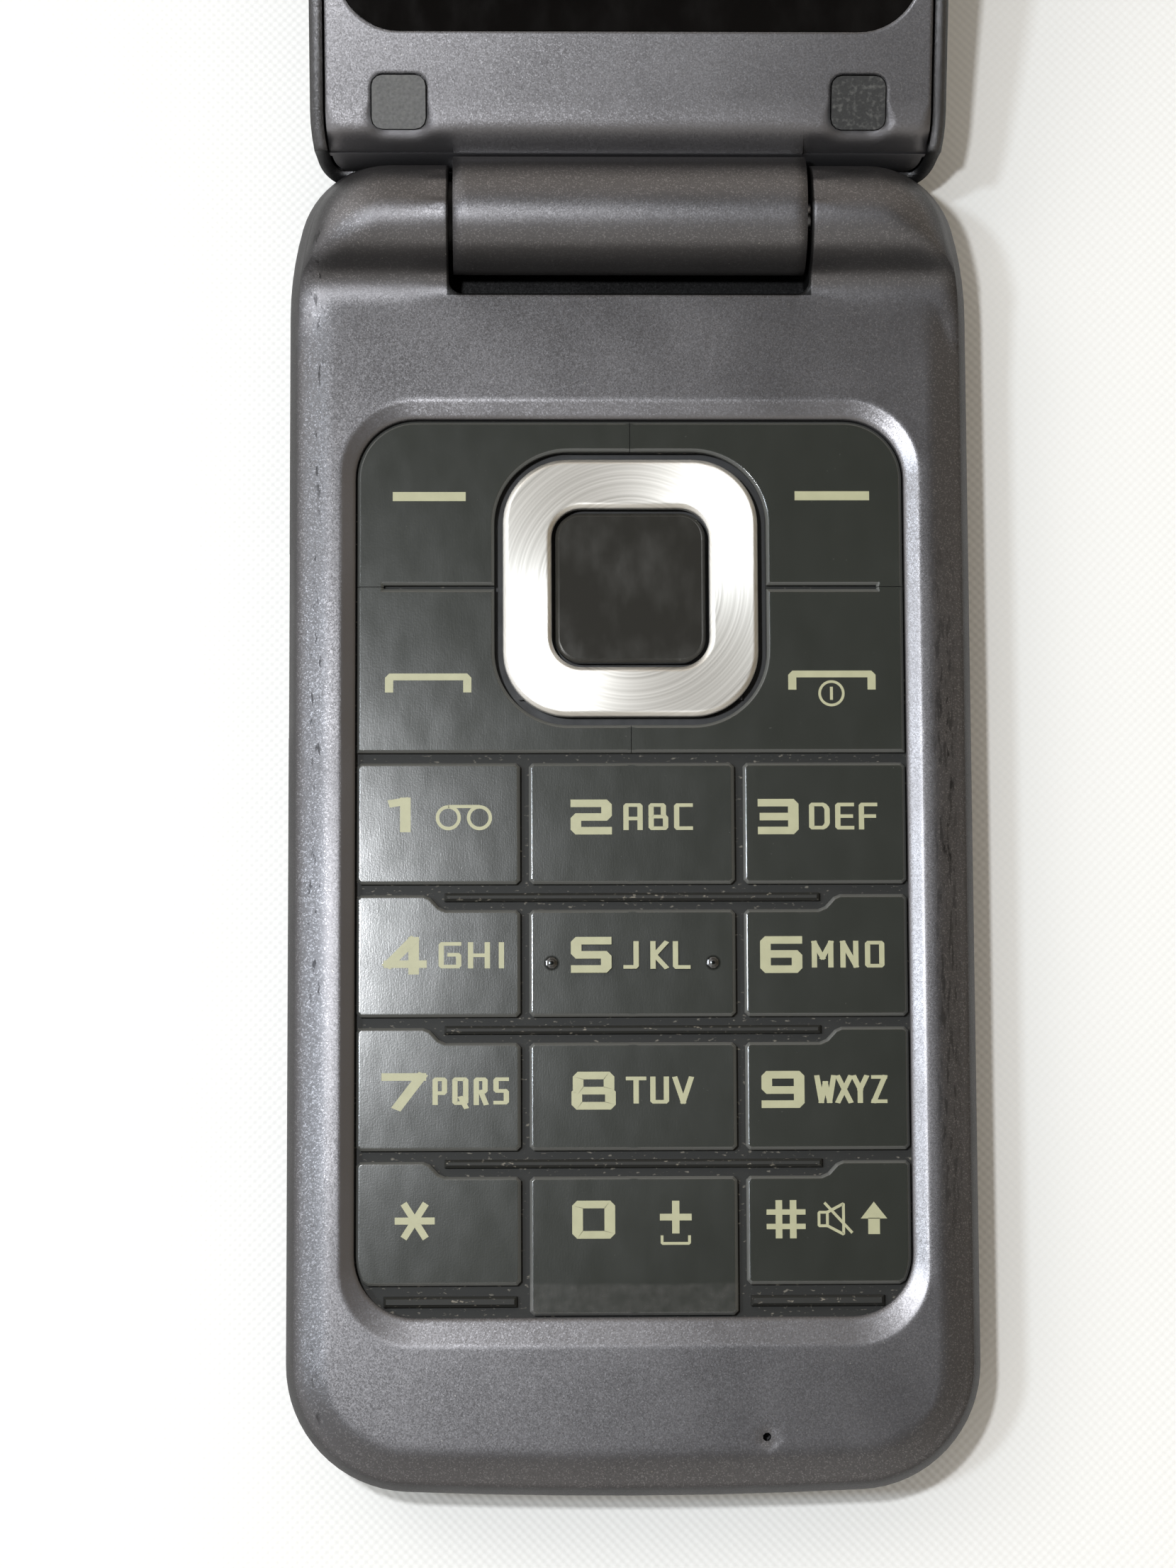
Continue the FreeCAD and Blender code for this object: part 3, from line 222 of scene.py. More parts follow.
def base_edges(paint):
    """Rounding of the base's edges: broad on the ears and the sloped rim, narrow at the keypad and hinge."""
    x, y = paint.axes()
    away = paint.math("ABSOLUTE", x)
    rim = paint.span(away, *rim_x, narrow_edge, rim_edge)
    foot = paint.span(y, *foot_y, narrow_edge, rim_edge)
    ear_end = paint.span(y, *ear_y, narrow_edge, ear_edge)
    ear_side = paint.span(away, *ear_x, narrow_edge, ear_edge)
    ears = paint.math("MINIMUM", ear_end, ear_side)
    return paint.math("MAXIMUM", paint.math("MAXIMUM", rim, ears), foot)


def lid_edges(paint):
    """Rounding of the inner cover's edges: broad where it turns down to the hinge."""
    return paint.span(paint.axes()[1], *lid_turn_y, *lid_edge)


def plate_edges(paint):
    """Rounding of the keys' edges, left off along the fine seams between the four plate keys."""
    x, y = paint.axes()
    off_upright_seam = paint.span(paint.math("ABSOLUTE", x), 0.2, 0.4)
    off_level_seam = paint.span(paint.math("ABSOLUTE", paint.less(y, ring_centre[1])), 0.12, 0.3)
    return paint.times(paint.math("MINIMUM", off_upright_seam, off_level_seam), key_edge)


def turned_down(paint, normal):
    """1 where a rounded edge looks steeply away from the object's own z: where the lacquer gets painted
    shade.
    """
    turn_to_object = {"vector_type": "NORMAL", "convert_from": "WORLD", "convert_to": "OBJECT"}
    turned = paint.node("VectorTransform", turn_to_object, Vector=normal).outputs[0]
    return paint.span(paint.node("SeparateXYZ", Vector=turned).outputs[2], 0.79, 0.68)


def glitter(paint, normal, flake_size, sparkle):
    """The normal with a fine grain, and with each flake tilted its own way."""
    tilt = paint.vector("SUBTRACT", paint.cells(flake_size), (0.5, 0.5, 0.5))
    tilt = paint.node("VectorMath", {"operation": "SCALE"}, i0=tilt, Scale=0.15 * sparkle).outputs[0]
    grain = paint.noise(0.13)
    face = paint.node("Bump", Strength=1.0, Distance=0.0015 * MM, Height=grain, Normal=normal).outputs[0]
    return paint.vector("NORMALIZE", paint.vector("ADD", face, tilt))


def flake_paint(name, colour, roughness, sparkle, edge):
    """Satin lacquer over fine metal flake, with painted shade where it turns down at an edge, and a few pale
    specks.

    Edge is how far its edges are rounded: a radius, or a function that works one out.
    """
    flake_size = 0.085
    speck_colour = (0.42, 0.40, 0.36)
    paint = Paint(name, Metallic=0.85, IOR=1.5)
    soft = paint.rounded(edge(paint) if callable(edge) else edge)
    flake = paint.node("SeparateColor", Color=paint.cells(flake_size)).outputs
    shade = paint.mix(paint.noise(6.0), scaled(colour, 0.93), scaled(colour, 1.07))
    shade = paint.tint(shade, scaled(colour, 2.6), paint.span(flake[0], 0.72, 1.0), sparkle)
    shade = paint.tint(shade, scaled(colour, 0.55), paint.span(flake[1], 0.6, 1.0), 0.45 * sparkle)
    # Painted shade: the colour goes dark where a rounded edge turns steeply down.
    shade = paint.tint(shade, scaled(colour, 0.2), turned_down(paint, soft), 0.75)
    specks = paint.span(paint.noise(0.22, detail=2.0, offset=(9.0, 2.0, 4.0)), 0.742, 0.775)
    shade = paint.tint(shade, speck_colour, specks, 0.5)
    smears = paint.noise(9.0, detail=4.0, offset=(1.0, 5.0, 2.0))
    rough = paint.span(smears, *noise_middle, roughness - 0.03, roughness + 0.05)
    rough = paint.plus(rough, paint.span(paint.facing(), 0.6, 0.2, 0.0, 0.3))
    paint.set(Base_Color=shade, Roughness=rough, Normal=glitter(paint, soft, flake_size, sparkle))
    return paint


def rim_dirt(paint, away):
    """Marks in a broken line along both sides of the rim."""
    marks = paint.span(paint.noise(0.5, detail=4.0, stretch=(0.8, 2.6, 1.0)), 0.60, 0.66)
    stretches = paint.span(paint.noise(14.0, detail=1.0, offset=(3.1, 7.7, 0.0)), 0.47, 0.56)
    line = paint.band(away, rim_dirt_x, half=0.35, soft=0.3)
    return paint.times(paint.times(line, marks), stretches)


def rim_grime(paint, x, y):
    """Finer grime on the right side of the rim, fading out towards both ends."""
    grime = paint.noise(0.5, detail=6.0, stretch=(0.55, 3.0, 1.0), offset=(5.0, 1.0, 0.0))
    across = paint.band(x, rim_grime_x, half=0.5, soft=0.7)
    along = paint.band(y, rim_grime_y, half=18.0, soft=14.0)
    return paint.times(paint.span(grime, 0.50, 0.60), paint.times(across, along))


def base_lacquer_dirt_and_painted_light(name, colour, roughness, sparkle):
    """The lacquer of the base, with a painted highlight on the keypad bevel, painted shade in the hinge
    notch and dirt along the rim.
    """
    paint = flake_paint(name, colour, roughness, sparkle, base_edges)
    x, y = paint.axes()
    away = paint.math("ABSOLUTE", x)
    # Painted shade: the hinge notch is darkened to near black.
    beside = paint.span(away, notch_half_width, notch_half_width - wall_softness)
    notch = paint.times(beside, paint.band(y, notch_middle_y, notch_half_length, soft=0.05))
    shade = paint.tint(paint.feeding("Base Color"), (0.006, 0.006, 0.006), notch, 0.93)
    # Painted highlight: the keypad's sloped bevel is lightened, and its roughness lowered a little.
    beside = paint.span(away, opening_half_width, opening_half_width - wall_softness)
    opening = paint.times(beside, paint.band(y, opening_middle_y, opening_half_length, soft=0.1))
    painted_bevel_highlight = paint.times(opening, paint.span(paint.facing(), 0.99, 0.96))
    shade = paint.mix(painted_bevel_highlight, shade, scaled(colour, 1.5))
    shade = paint.tint(shade, (0.018, 0.017, 0.018), rim_dirt(paint, away), 0.75)
    shade = paint.tint(shade, (0.035, 0.035, 0.036), rim_grime(paint, x, y), 0.55)
    rough = paint.less(paint.feeding("Roughness"), paint.times(painted_bevel_highlight, 0.02))
    paint.set(Base_Color=shade, Roughness=rough)
    return paint


def lid_lacquer_painted_light(name, colour, roughness, sparkle):
    """The lacquer of the lid's inner face, lightened as painted light where it slopes down to the hinge."""
    paint = flake_paint(name, colour, roughness, sparkle, lid_edges)
    # Painted light: the face is lightened along its turn down to the hinge.
    painted_slope_light = paint.band(paint.axes()[1], lid_slope_y, half=0.8, soft=1.6)
    paint.set(Base_Color=paint.mix(painted_slope_light, paint.feeding("Base Color"), scaled(colour, 1.35)))
    return paint


def key_dots(paint, x, y):
    """1 on the two small dots of the 5 key."""
    off_x = paint.less(paint.math("ABSOLUTE", x), dot_x)
    off_y = paint.less(y, dot_y)
    return paint.span(paint.distance(off_x, off_y), *dot_radius)


def key_foot_painted_reflection(paint, y):
    """Patchy lighter colour on the lowest strip of the keypad, past an uneven line: a painted reflection."""
    foot = paint.span(paint.plus(y, paint.times(paint.noise(1.5), 0.4)), *key_foot_y)
    return paint.times(foot, paint.span(paint.noise(0.8), 0.35, 0.65, 0.15, 0.5))


def key_gloss(name):
    """Dark lacquered keys, worn by fingers, with lint, a painted reflection on the lowest strip, painted
    shade on the dots of the 5 key and dull sides.
    """
    paint = Paint(name, Roughness=0.18, IOR=1.8, Specular_IOR_Level=0.85)
    x, y = paint.axes()
    dots = key_dots(paint, x, y)
    shade = paint.mix(paint.noise(5.0, detail=4.0), (0.025, 0.027, 0.0225), (0.035, 0.0375, 0.032))
    lint = paint.span(paint.noise(0.18, detail=2.0, offset=(4.0, 8.0, 1.0)), 0.775, 0.80)
    shade = paint.tint(shade, (0.25, 0.25, 0.23), lint, 0.35)
    # Painted reflection: the lowest strip of the keypad is lightened in patches.
    shade = paint.mix(key_foot_painted_reflection(paint, y), shade, (0.085, 0.083, 0.078))
    # Painted shade: the two dots of the 5 key are darkened to near black.
    shade = paint.tint(shade, (0.004, 0.004, 0.004), dots, 0.9)
    fingers = paint.noise(3.0, detail=4.0, stretch=(0.6, 1.4, 1.0), offset=(2.0, 0.0, 0.0))
    rough = paint.span(fingers, 0.3, 0.75, 0.142, 0.166)
    rough = paint.less(rough, paint.times(dots, 0.09))
    sides = paint.span(paint.facing(), 0.995, 0.95, 0.0, 0.5)
    rough = paint.plus(rough, paint.times(sides, paint.less(1.0, dots)))
    paint.set(Base_Color=shade, Roughness=rough)
    hairlines = paint.noise(0.30, stretch=(0.22, 3.2, 1.0))
    scratched = paint.bump(hairlines, 0.0014, paint.rounded(plate_edges(paint)))
    paint.bump(paint.noise(0.14, detail=2.0), 0.0016, scratched)
    return paint.material


def web_plastic(name):
    """Matte black moulding in the grooves, with pale dust caught along it."""
    paint = Paint(name, Roughness=0.55, IOR=1.45, Specular_IOR_Level=0.35)
    dust = paint.span(paint.noise(0.3, stretch=(1.6, 0.8, 1.0)), 0.63, 0.72)
    paint.set(Base_Color=paint.tint((0.018, 0.018, 0.016), (0.30, 0.27, 0.22), dust, 0.6))
    paint.bump(paint.noise(0.25), 0.004)
    return paint.material


def spun_metal(name, centre):
    """Bright metal, turned in fine rings about a centre."""
    rings_per_mm = 4.2
    paint = Paint(name, Metallic=1.0, Anisotropic=0.65, Anisotropic_Rotation=0.25)
    x, y = paint.axes()
    radius = paint.distance(paint.less(x, centre[0]), paint.less(y, centre[1]))
    place = paint.node("CombineXYZ", X=paint.times(radius, rings_per_mm)).outputs[0]
    rings = paint.node("TexNoise", Vector=place, Scale=1.0, Detail=2.0).outputs["Fac"]
    shade = paint.mix(paint.span(rings, 0.35, 0.65), (0.70, 0.68, 0.635), (0.82, 0.80, 0.755))
    paint.set(Base_Color=shade, Roughness=paint.span(rings, *noise_middle, 0.34, 0.40))
    paint.set(Tangent=paint.node("Tangent", {"direction_type": "RADIAL", "axis": "Z"}).outputs[0])
    paint.bump(rings, 0.004, paint.rounded(ring_edge))
    return paint.material


def gloss_black(name, colour, roughness=0.12, smudge=0.12):
    """Polished dark plastic or glass with faint finger marks."""
    paint = Paint(name, IOR=1.5)
    marks = paint.span(paint.noise(2.6, detail=5.0, stretch=(0.8, 1.5, 1.0)), 0.42, 0.75)
    shade = paint.tint(colour, [part * 1.6 + 0.004 for part in colour], marks, 0.5)
    paint.set(Base_Color=shade, Roughness=paint.span(marks, 0.0, 1.0, roughness, roughness + smudge))
    paint.bump(paint.noise(1.2, detail=2.0), 0.0012)
    return paint.material


def rubber(name):
    """Dark rubber, much greyer on the left pads, with a coarse grain and grey dust in it."""
    paint = Paint(name, Roughness=0.75, IOR=1.45)
    grain = paint.noise(0.22, detail=4.0)
    dust = paint.span(paint.noise(0.35, detail=4.0, offset=(2.0, 1.0, 0.0)), 0.5, 0.75)
    greyer_to_left = paint.span(paint.axes()[0], -5.0, 5.0, 0.12, 0.028)
    greyer_to_left = paint.times(greyer_to_left, paint.span(grain, *noise_middle, 0.8, 1.2))
    ground = paint.node("CombineColor", Red=greyer_to_left, Green=greyer_to_left, Blue=greyer_to_left).outputs[0]
    paint.set(Base_Color=paint.tint(ground, (0.16, 0.16, 0.15), dust, 0.5))
    paint.bump(grain, 0.03)
    return paint.material


def plain(name, colour, roughness, depth=0.006, spread=0.12):
    """Moulded plastic, label or film with its own small unevenness."""
    grain = 0.4
    paint = Paint(name, Metallic=0.0, IOR=1.46)
    cloud = paint.noise(grain * 6.0)
    patches = paint.noise(grain * 3.0)
    paint.set(
        Base_Color=paint.mix(cloud, scaled(colour, 1.0 - spread), scaled(colour, 1.0 + spread)),
        Roughness=paint.span(patches, *noise_middle, roughness - 0.05, roughness + 0.05),
    )
    paint.bump(paint.noise(grain), depth)
    return paint.material


def drawn_metal(name, colour, roughness):
    """Metal with fine lines in one direction."""
    paint = Paint(name, Metallic=1.0, IOR=1.46)
    lines = paint.noise(0.4, stretch=(0.1, 3.0, 1.0))
    paint.set(
        Base_Color=paint.mix(lines, scaled(colour, 0.85), scaled(colour, 1.1)),
        Roughness=paint.span(lines, *noise_middle, roughness - 0.06, roughness + 0.06),
    )
    paint.bump(lines, 0.003)
    return paint.material


def board(name):
    """Green solder mask over copper tracks."""
    cells_per_mm = 0.7
    paint = Paint(name, Roughness=0.35, IOR=1.5)
    where = paint.place((cells_per_mm,) * 3)
    tracks = paint.node("TexVoronoi", {"feature": "DISTANCE_TO_EDGE"}, Vector=where, Scale=1.0)
    line = paint.span(tracks.outputs["Distance"], 0.06, 0.09)
    paint.set(Base_Color=paint.mix(line, (0.05, 0.20, 0.10), (0.018, 0.10, 0.05)))
    paint.bump(line, 0.02)
    return paint.material


def woven(name):
    """Fine wire mesh."""
    wires_per_mm = 18.0
    paint = Paint(name, Metallic=1.0, Roughness=0.4)
    waves = [paint.math("SINE", paint.times(axis, wires_per_mm)) for axis in paint.axes()]
    wires = paint.math("MAXIMUM", *(paint.math("ABSOLUTE", wave) for wave in waves))
    paint.set(Base_Color=paint.mix(paint.span(wires, 0.5, 0.9), (0.01, 0.01, 0.01), (0.30, 0.30, 0.29)))
    paint.bump(wires, 0.03)
    return paint.material


def legend_print(name):
    """Pale print on the keys, slightly uneven."""
    paint = Paint(name, Roughness=0.42, IOR=1.45)
    paint.set(Base_Color=paint.mix(paint.noise(0.9), (0.34, 0.335, 0.21), (0.425, 0.42, 0.265)))
    paint.bump(paint.noise(0.2), 0.003)
    return paint.material


def pale_cloth(name):
    """White cloth with soft creases and a weave that only just shows."""
    thread_pitch = 0.75
    paint = Paint(name, Roughness=0.9, IOR=1.3)
    threads = [paint.math("SINE", paint.times(axis, math.tau / thread_pitch)) for axis in paint.axes()]
    weave = paint.times(*threads)
    creases = paint.noise(22.0, detail=2.0)
    paint.set(Base_Color=paint.mix(paint.span(weave, -1.0, 1.0), (0.885, 0.88, 0.86), (0.915, 0.91, 0.89)))
    paint.bump(paint.plus(paint.times(weave, 0.5), creases), 0.03)
    return paint.material


charcoal = (0.121, 0.117, 0.121)
satin = {"colour": charcoal, "roughness": 0.345, "sparkle": 0.5}
paints = {
    "housing": base_lacquer_dirt_and_painted_light("housing_paint", **satin).material,
    "lid_face": lid_lacquer_painted_light("lid_face_paint", **satin).material,
    "housing_gloss": flake_paint("lid_rim_paint", (0.10, 0.098, 0.10), 0.24, 0.4, lid_rim_edge).material,
    "battery_cover": flake_paint("battery_cover_paint", **satin, edge=battery_cover_edge).material,
    "key_gloss": key_gloss("key_lacquer"),
    "web": web_plastic("web_plastic"),
    "ring_metal": spun_metal("spun_ring_metal", ring_centre),
    "centre_gloss": gloss_black("centre_key_gloss", (0.027, 0.026, 0.023)),
    "rubber": rubber("bumper_rubber"),
    "dark_window": gloss_black("window_gloss", (0.0035, 0.003, 0.0028), 0.05, 0.05),
    "screen": gloss_black("dark_screen", (0.006, 0.006, 0.008), 0.2, 0.1),
    "board_green": board("circuit_board"),
    "foil": drawn_metal("metal_foil", (0.72, 0.72, 0.73), 0.35),
    "steel": drawn_metal("plain_steel", (0.55, 0.55, 0.56), 0.32),
    "brass": drawn_metal("gilded_contacts", (0.80, 0.60, 0.28), 0.3),
    "black_plastic": plain("black_plastic", (0.025, 0.025, 0.026), 0.5),
    "battery_label": plain("battery_wrap", (0.10, 0.10, 0.11), 0.4),
    "card_white": plain("card_plastic", (0.78, 0.78, 0.75), 0.4, depth=0.002, spread=0.03),
    "cable_amber": plain("cable_film", (0.50, 0.22, 0.035), 0.3),
    "mesh": woven("earpiece_mesh_wire"),
    "legend": legend_print("legend_print"),
}
slot_of = {part["node"]: part["material_slot"] for part in frame["record"]["subparts"]}
slot_of["flip_inner_cover"] = "lid_face"
# These pieces take black plastic. On the dome sheet and the actuator, seen through the groove round the
# ring, it is painted shade.
for name in ("microphone", "dome_sheet", "nav_actuator", "hinge_sleeve"):
    slot_of[name] = "black_plastic"
for name, piece in nodes.items():
    if not piece.material_slots:
        piece.data.materials.append(paints[slot_of[name]])
    for slot in piece.material_slots:
        slot.link = "OBJECT"
        slot.material = paints[slot_of[name]]

# Print on the keys: each sign is drawn with strokes inside its own box, in millimetres.
# A stroke is (points, closed); points run from 0 to 1 across and up the box.

BOX = [(0, 0), (1, 0), (1, 1), (0, 1)]
STROKES = {
    "0": [(BOX, True)],
    "1": [([(1, 0), (1, 1)], False), ([(0.0, 0.93), (0.9, 0.99)], False)],
    "2": [([(0, 1), (1, 1), (1, 0.5), (0, 0.5), (0, 0), (1, 0)], False)],
    "3": [([(0, 1), (1, 1), (1, 0), (0, 0)], False), ([(0.06, 0.5), (1, 0.5)], False)],
    "4": [([(0.76, 0), (0.76, 1)], False), ([(1, 0.22), (0, 0.22), (0.72, 1)], False)],
    "5": [([(1, 1), (0, 1), (0, 0.5), (1, 0.5), (1, 0), (0, 0)], False)],
    "6": [([(1, 1), (0, 1), (0, 0), (1, 0), (1, 0.52), (0, 0.52)], False)],
    "7": [([(0, 1), (1, 1), (0.34, 0)], False)],
    "8": [([(0, 0), (1, 0), (1, 0.5), (0, 0.5)], True),
          ([(0.04, 0.5), (0.96, 0.5), (0.96, 1), (0.04, 1)], True)],
    "9": [([(0, 0), (1, 0), (1, 1), (0, 1), (0, 0.48), (1, 0.48)], False)],
    "A": [([(0, 0), (0, 1), (1, 1), (1, 0)], False), ([(0, 0.42), (1, 0.42)], False)],
    "B": [([(0, 0), (1, 0), (1, 0.5), (0, 0.5)], True), ([(0, 0.5), (0.85, 0.5), (0.85, 1), (0, 1)], True)],
    "C": [([(1, 1), (0, 1), (0, 0), (1, 0)], False)],
    "D": [([(0, 0), (0.78, 0), (1, 0.16), (1, 0.84), (0.78, 1), (0, 1)], True)],
    "E": [([(1, 1), (0, 1), (0, 0), (1, 0)], False), ([(0, 0.5), (0.92, 0.5)], False)],
    "F": [([(1, 1), (0, 1), (0, 0)], False), ([(0, 0.5), (0.9, 0.5)], False)],
    "G": [([(1, 1), (0, 1), (0, 0), (1, 0), (1, 0.52), (0.5, 0.52)], False)],
    "H": [([(0, 0), (0, 1)], False), ([(1, 0), (1, 1)], False), ([(0, 0.5), (1, 0.5)], False)],
    "I": [([(0.5, 0), (0.5, 1)], False)],
    "J": [([(1, 1), (1, 0), (0, 0)], False)],
    "K": [([(0, 0), (0, 1)], False), ([(1, 1), (0.12, 0.5), (1, 0)], False)],
    "L": [([(0, 1), (0, 0), (1, 0)], False)],
    "M": [([(0, 0), (0, 1), (0.5, 0.35), (1, 1), (1, 0)], False)],
    "N": [([(0, 0), (0, 1), (1, 0), (1, 1)], False)],
    "O": [(BOX, True)],
    "P": [([(0, 0), (0, 1), (1, 1), (1, 0.42), (0, 0.42)], False)],
    "Q": [([(0, 0.14), (1, 0.14), (1, 1), (0, 1)], True), ([(0.55, 0.32), (1, 0)], False)],
    "R": [([(0, 0), (0, 1), (0.94, 1), (0.94, 0.48), (0, 0.48)], False), ([(0.5, 0.48), (1, 0)], False)],
    "S": [([(1, 1), (0, 1), (0, 0.5), (1, 0.5), (1, 0), (0, 0)], False)],
    "T": [([(0, 1), (1, 1)], False), ([(0.5, 1), (0.5, 0)], False)],
    "U": [([(0, 1), (0, 0), (1, 0), (1, 1)], False)],
    "V": [([(0, 1), (0.5, 0), (1, 1)], False)],
    "W": [([(0, 1), (0.25, 0), (0.5, 0.75), (0.75, 0), (1, 1)], False)],
    "X": [([(0, 0), (1, 1)], False), ([(0, 1), (1, 0)], False)],
    "Y": [([(0, 1), (0.5, 0.5), (1, 1)], False), ([(0.5, 0.5), (0.5, 0)], False)],
    "Z": [([(0, 1), (1, 1), (0, 0), (1, 0)], False)],
    "star": [([(0, 0.5), (1, 0.5)], False), ([(0.22, 0.03), (0.78, 0.97)], False),
             ([(0.22, 0.97), (0.78, 0.03)], False)],
    "plus": [([(0, 0.5), (1, 0.5)], False), ([(0.5, 0), (0.5, 1)], False)],
    "space": [([(0, 1), (0, 0), (1, 0), (1, 1)], False)],
    "hash": [([(0, 0.28), (1, 0.28)], False), ([(0, 0.72), (1, 0.72)], False),
             ([(0.28, 0), (0.28, 1)], False), ([(0.72, 0), (0.72, 1)], False)],
    "mute": [([(0, 0.28), (0.26, 0.28), (0.76, 0), (0.76, 1), (0.26, 0.72), (0, 0.72)], True),
             ([(0.26, 0.28), (0.26, 0.72)], False), ([(0.2, 1), (1, 0.08)], False)],
    "arrow": [],
    "dash": [([(0, 0.5), (1, 0.5)], False)],
    "hook": [([(0, 0), (0, 1), (1, 1), (1, 0)], False)],
}
# Filled shapes of the signs that are not drawn with strokes: their corners, anticlockwise, in the same box
SOLID = {
    "arrow": [[(0.28, 0.0), (0.72, 0.0), (0.72, 0.5), (0.28, 0.5)], [(0.0, 0.48), (1.0, 0.48), (0.5, 1.0)]],
}
# Widths of a stroke in millimetres: (on upright stretches, on level ones)
DIGIT = (0.80, 0.57)
LETTER = (0.40, 0.27)
THIN = (0.21, 0.21)
# Signs on each key: (sign, stroke widths, left, right, bottom, top)
LEGENDS = {
    "key_1": [("1", DIGIT, -18.36, -16.69, -1.46, 1.17)],
    "key_2": [("2", DIGIT, -4.62, -1.50, -1.66, 0.99), ("A", LETTER, -0.63, 0.83, -1.33, 0.70),
              ("B", LETTER, 1.27, 2.76, -1.33, 0.70), ("C", LETTER, 3.20, 4.63, -1.33, 0.69)],
    "key_3": [("3", DIGIT, 9.54, 12.63, -1.67, 1.01), ("D", LETTER, 13.42, 14.99, -1.31, 0.72),
              ("E", LETTER, 15.40, 16.84, -1.32, 0.71), ("F", LETTER, 17.19, 18.60, -1.32, 0.71)],
    "key_4": [("4", DIGIT, -18.71, -15.47, -12.20, -9.38), ("G", LETTER, -14.58, -12.87, -11.74, -9.77),
              ("H", LETTER, -12.38, -10.72, -11.75, -9.78), ("I", LETTER, -10.06, -9.66, -11.75, -9.79)],
    "key_5": [("5", DIGIT, -4.64, -1.58, -12.12, -9.42), ("J", LETTER, -0.69, 0.47, -11.82, -9.75),
              ("K", LETTER, 1.34, 2.69, -11.83, -9.75), ("L", LETTER, 3.03, 4.36, -11.84, -9.76)],
    "key_6": [("6", DIGIT, 9.62, 12.80, -12.16, -9.39), ("M", LETTER, 13.51, 15.15, -11.76, -9.75),
              ("N", LETTER, 15.67, 17.04, -11.77, -9.75), ("O", LETTER, 17.53, 19.00, -11.77, -9.76)],
    "key_7": [("7", DIGIT, -18.86, -15.51, -22.35, -19.59), ("P", LETTER, -15.04, -13.94, -21.97, -19.92),
              ("Q", LETTER, -13.56, -12.35, -22.26, -19.92), ("R", LETTER, -11.96, -10.86, -21.99, -19.93),
              ("S", LETTER, -10.48, -9.31, -21.95, -19.93)],
    "key_8": [("8", DIGIT, -4.63, -1.31, -22.36, -19.53), ("T", LETTER, -0.55, 0.99, -21.92, -19.91),
              ("U", LETTER, 1.28, 2.69, -21.93, -19.91), ("V", LETTER, 2.96, 4.54, -21.94, -19.92)],
    "key_9": [("9", DIGIT, 9.63, 12.86, -22.29, -19.52), ("W", LETTER, 13.61, 15.25, -21.93, -19.85),
              ("X", LETTER, 15.20, 16.50, -21.94, -19.86), ("Y", LETTER, 16.40, 17.70, -21.94, -19.86),
              ("Z", LETTER, 17.88, 19.09, -21.95, -19.86)],
    "key_star": [("star", (0.52, 0.52), -17.85, -14.87, -32.00, -29.19)],
    "key_0": [("0", DIGIT, -4.61, -1.40, -31.96, -29.14), ("plus", (0.55, 0.50), 1.94, 4.32, -31.60, -29.17),
              ("space", THIN, 1.99, 4.25, -32.44, -31.74)],
    "key_hash": [("hash", (0.50, 0.40), 9.92, 12.84, -32.00, -29.16),
                 ("mute", THIN, 13.74, 16.37, -31.82, -29.33),
                 ("arrow", (0.75, 0.75), 16.97, 18.96, -31.71, -29.30)],
    "soft_key_left": [("dash", (0.70, 0.70), -18.07, -12.52, 23.86, 24.56)],
    "soft_key_right": [("dash", (0.70, 0.70), 12.57, 18.27, 23.92, 24.62)],
    "send_key": [("hook", (0.62, 0.52), -18.64, -12.10, 9.16, 10.61)],
    "end_key": [("hook", (0.62, 0.52), 11.94, 18.59, 9.34, 10.80)],
}
# Round signs: (centre x, centre y, radius of the stroke's middle, width)
RINGS = {
    "key_1": [(-13.85, -0.37, 0.82, 0.26), (-11.50, -0.37, 0.82, 0.26)],
    "end_key": [(15.22, 9.06, 0.90, 0.20)],
}
# Straight strokes that belong to the round signs, written as in LEGENDS
BARS = {
    "key_1": [("dash", (0.24, 0.24), -13.85, -11.50, 0.36, 0.58)],
    "end_key": [("I", (0.22, 0.22), 15.10, 15.34, 8.56, 9.56)],
}

# Heights of the print, in millimetres: above the key, each line above the last, each point above the last

print_height = 0.008
line_step = 0.0025
point_step = 0.0012

# A corner reaches half a stroke over its cosine. A turn with a cosine below sharp_turn cuts the line in two.
# Softening cuts a corner by a share of the stroke's width, and by no more than a share of the stretch.

ring_points = 32
sharpest_mitre = 0.2
longest_mitre = 1.1
sharp_turn = -0.1
corner_cut = 0.3
longest_cut = 0.4


def ribbon(points, closed, across, up):
    """Flat band along points, across wide on its upright stretches and up wide on its level ones."""
    track = [Vector((x / across, y / up)) for x, y in points]
    count = len(track)
    left, right = [], []
    for number, here in enumerate(track):
        before = track[number - 1] if closed or number > 0 else None
        after = track[(number + 1) % count] if closed or number < count - 1 else None
        ways = [(here - before).normalized()] if before is not None else []
        ways += [(after - here).normalized()] if after is not None else []
        if len(ways) == 1:
            side = Vector((-ways[0].y, ways[0].x))
            end = ways[0] * (0.5 if before is not None else -0.5)
            left.append(here + end + side * 0.5)
            right.append(here + end - side * 0.5)
        else:
            sides = [Vector((-way.y, way.x)) for way in ways]
            middle = (sides[0] + sides[1]).normalized()
            reach = min(0.5 / max(middle.dot(sides[0]), sharpest_mitre), longest_mitre)
            left.append(here + middle * reach)
            right.append(here - middle * reach)
    return [(p.x * across, p.y * up) for p in left], [(p.x * across, p.y * up) for p in right]


def split_sharp(points, closed):
    """Open lines cut at their sharp turns, so that no band folds over itself."""
    if closed:
        return [points]
    lines = [[points[0]]]
    for number in range(1, len(points)):
        lines[-1].append(points[number])
        if number < len(points) - 1:
            back = Vector(points[number]) - Vector(points[number - 1])
            on = Vector(points[number + 1]) - Vector(points[number])
            if back.normalized().dot(on.normalized()) < sharp_turn:
                lines.append([points[number]])
    return lines


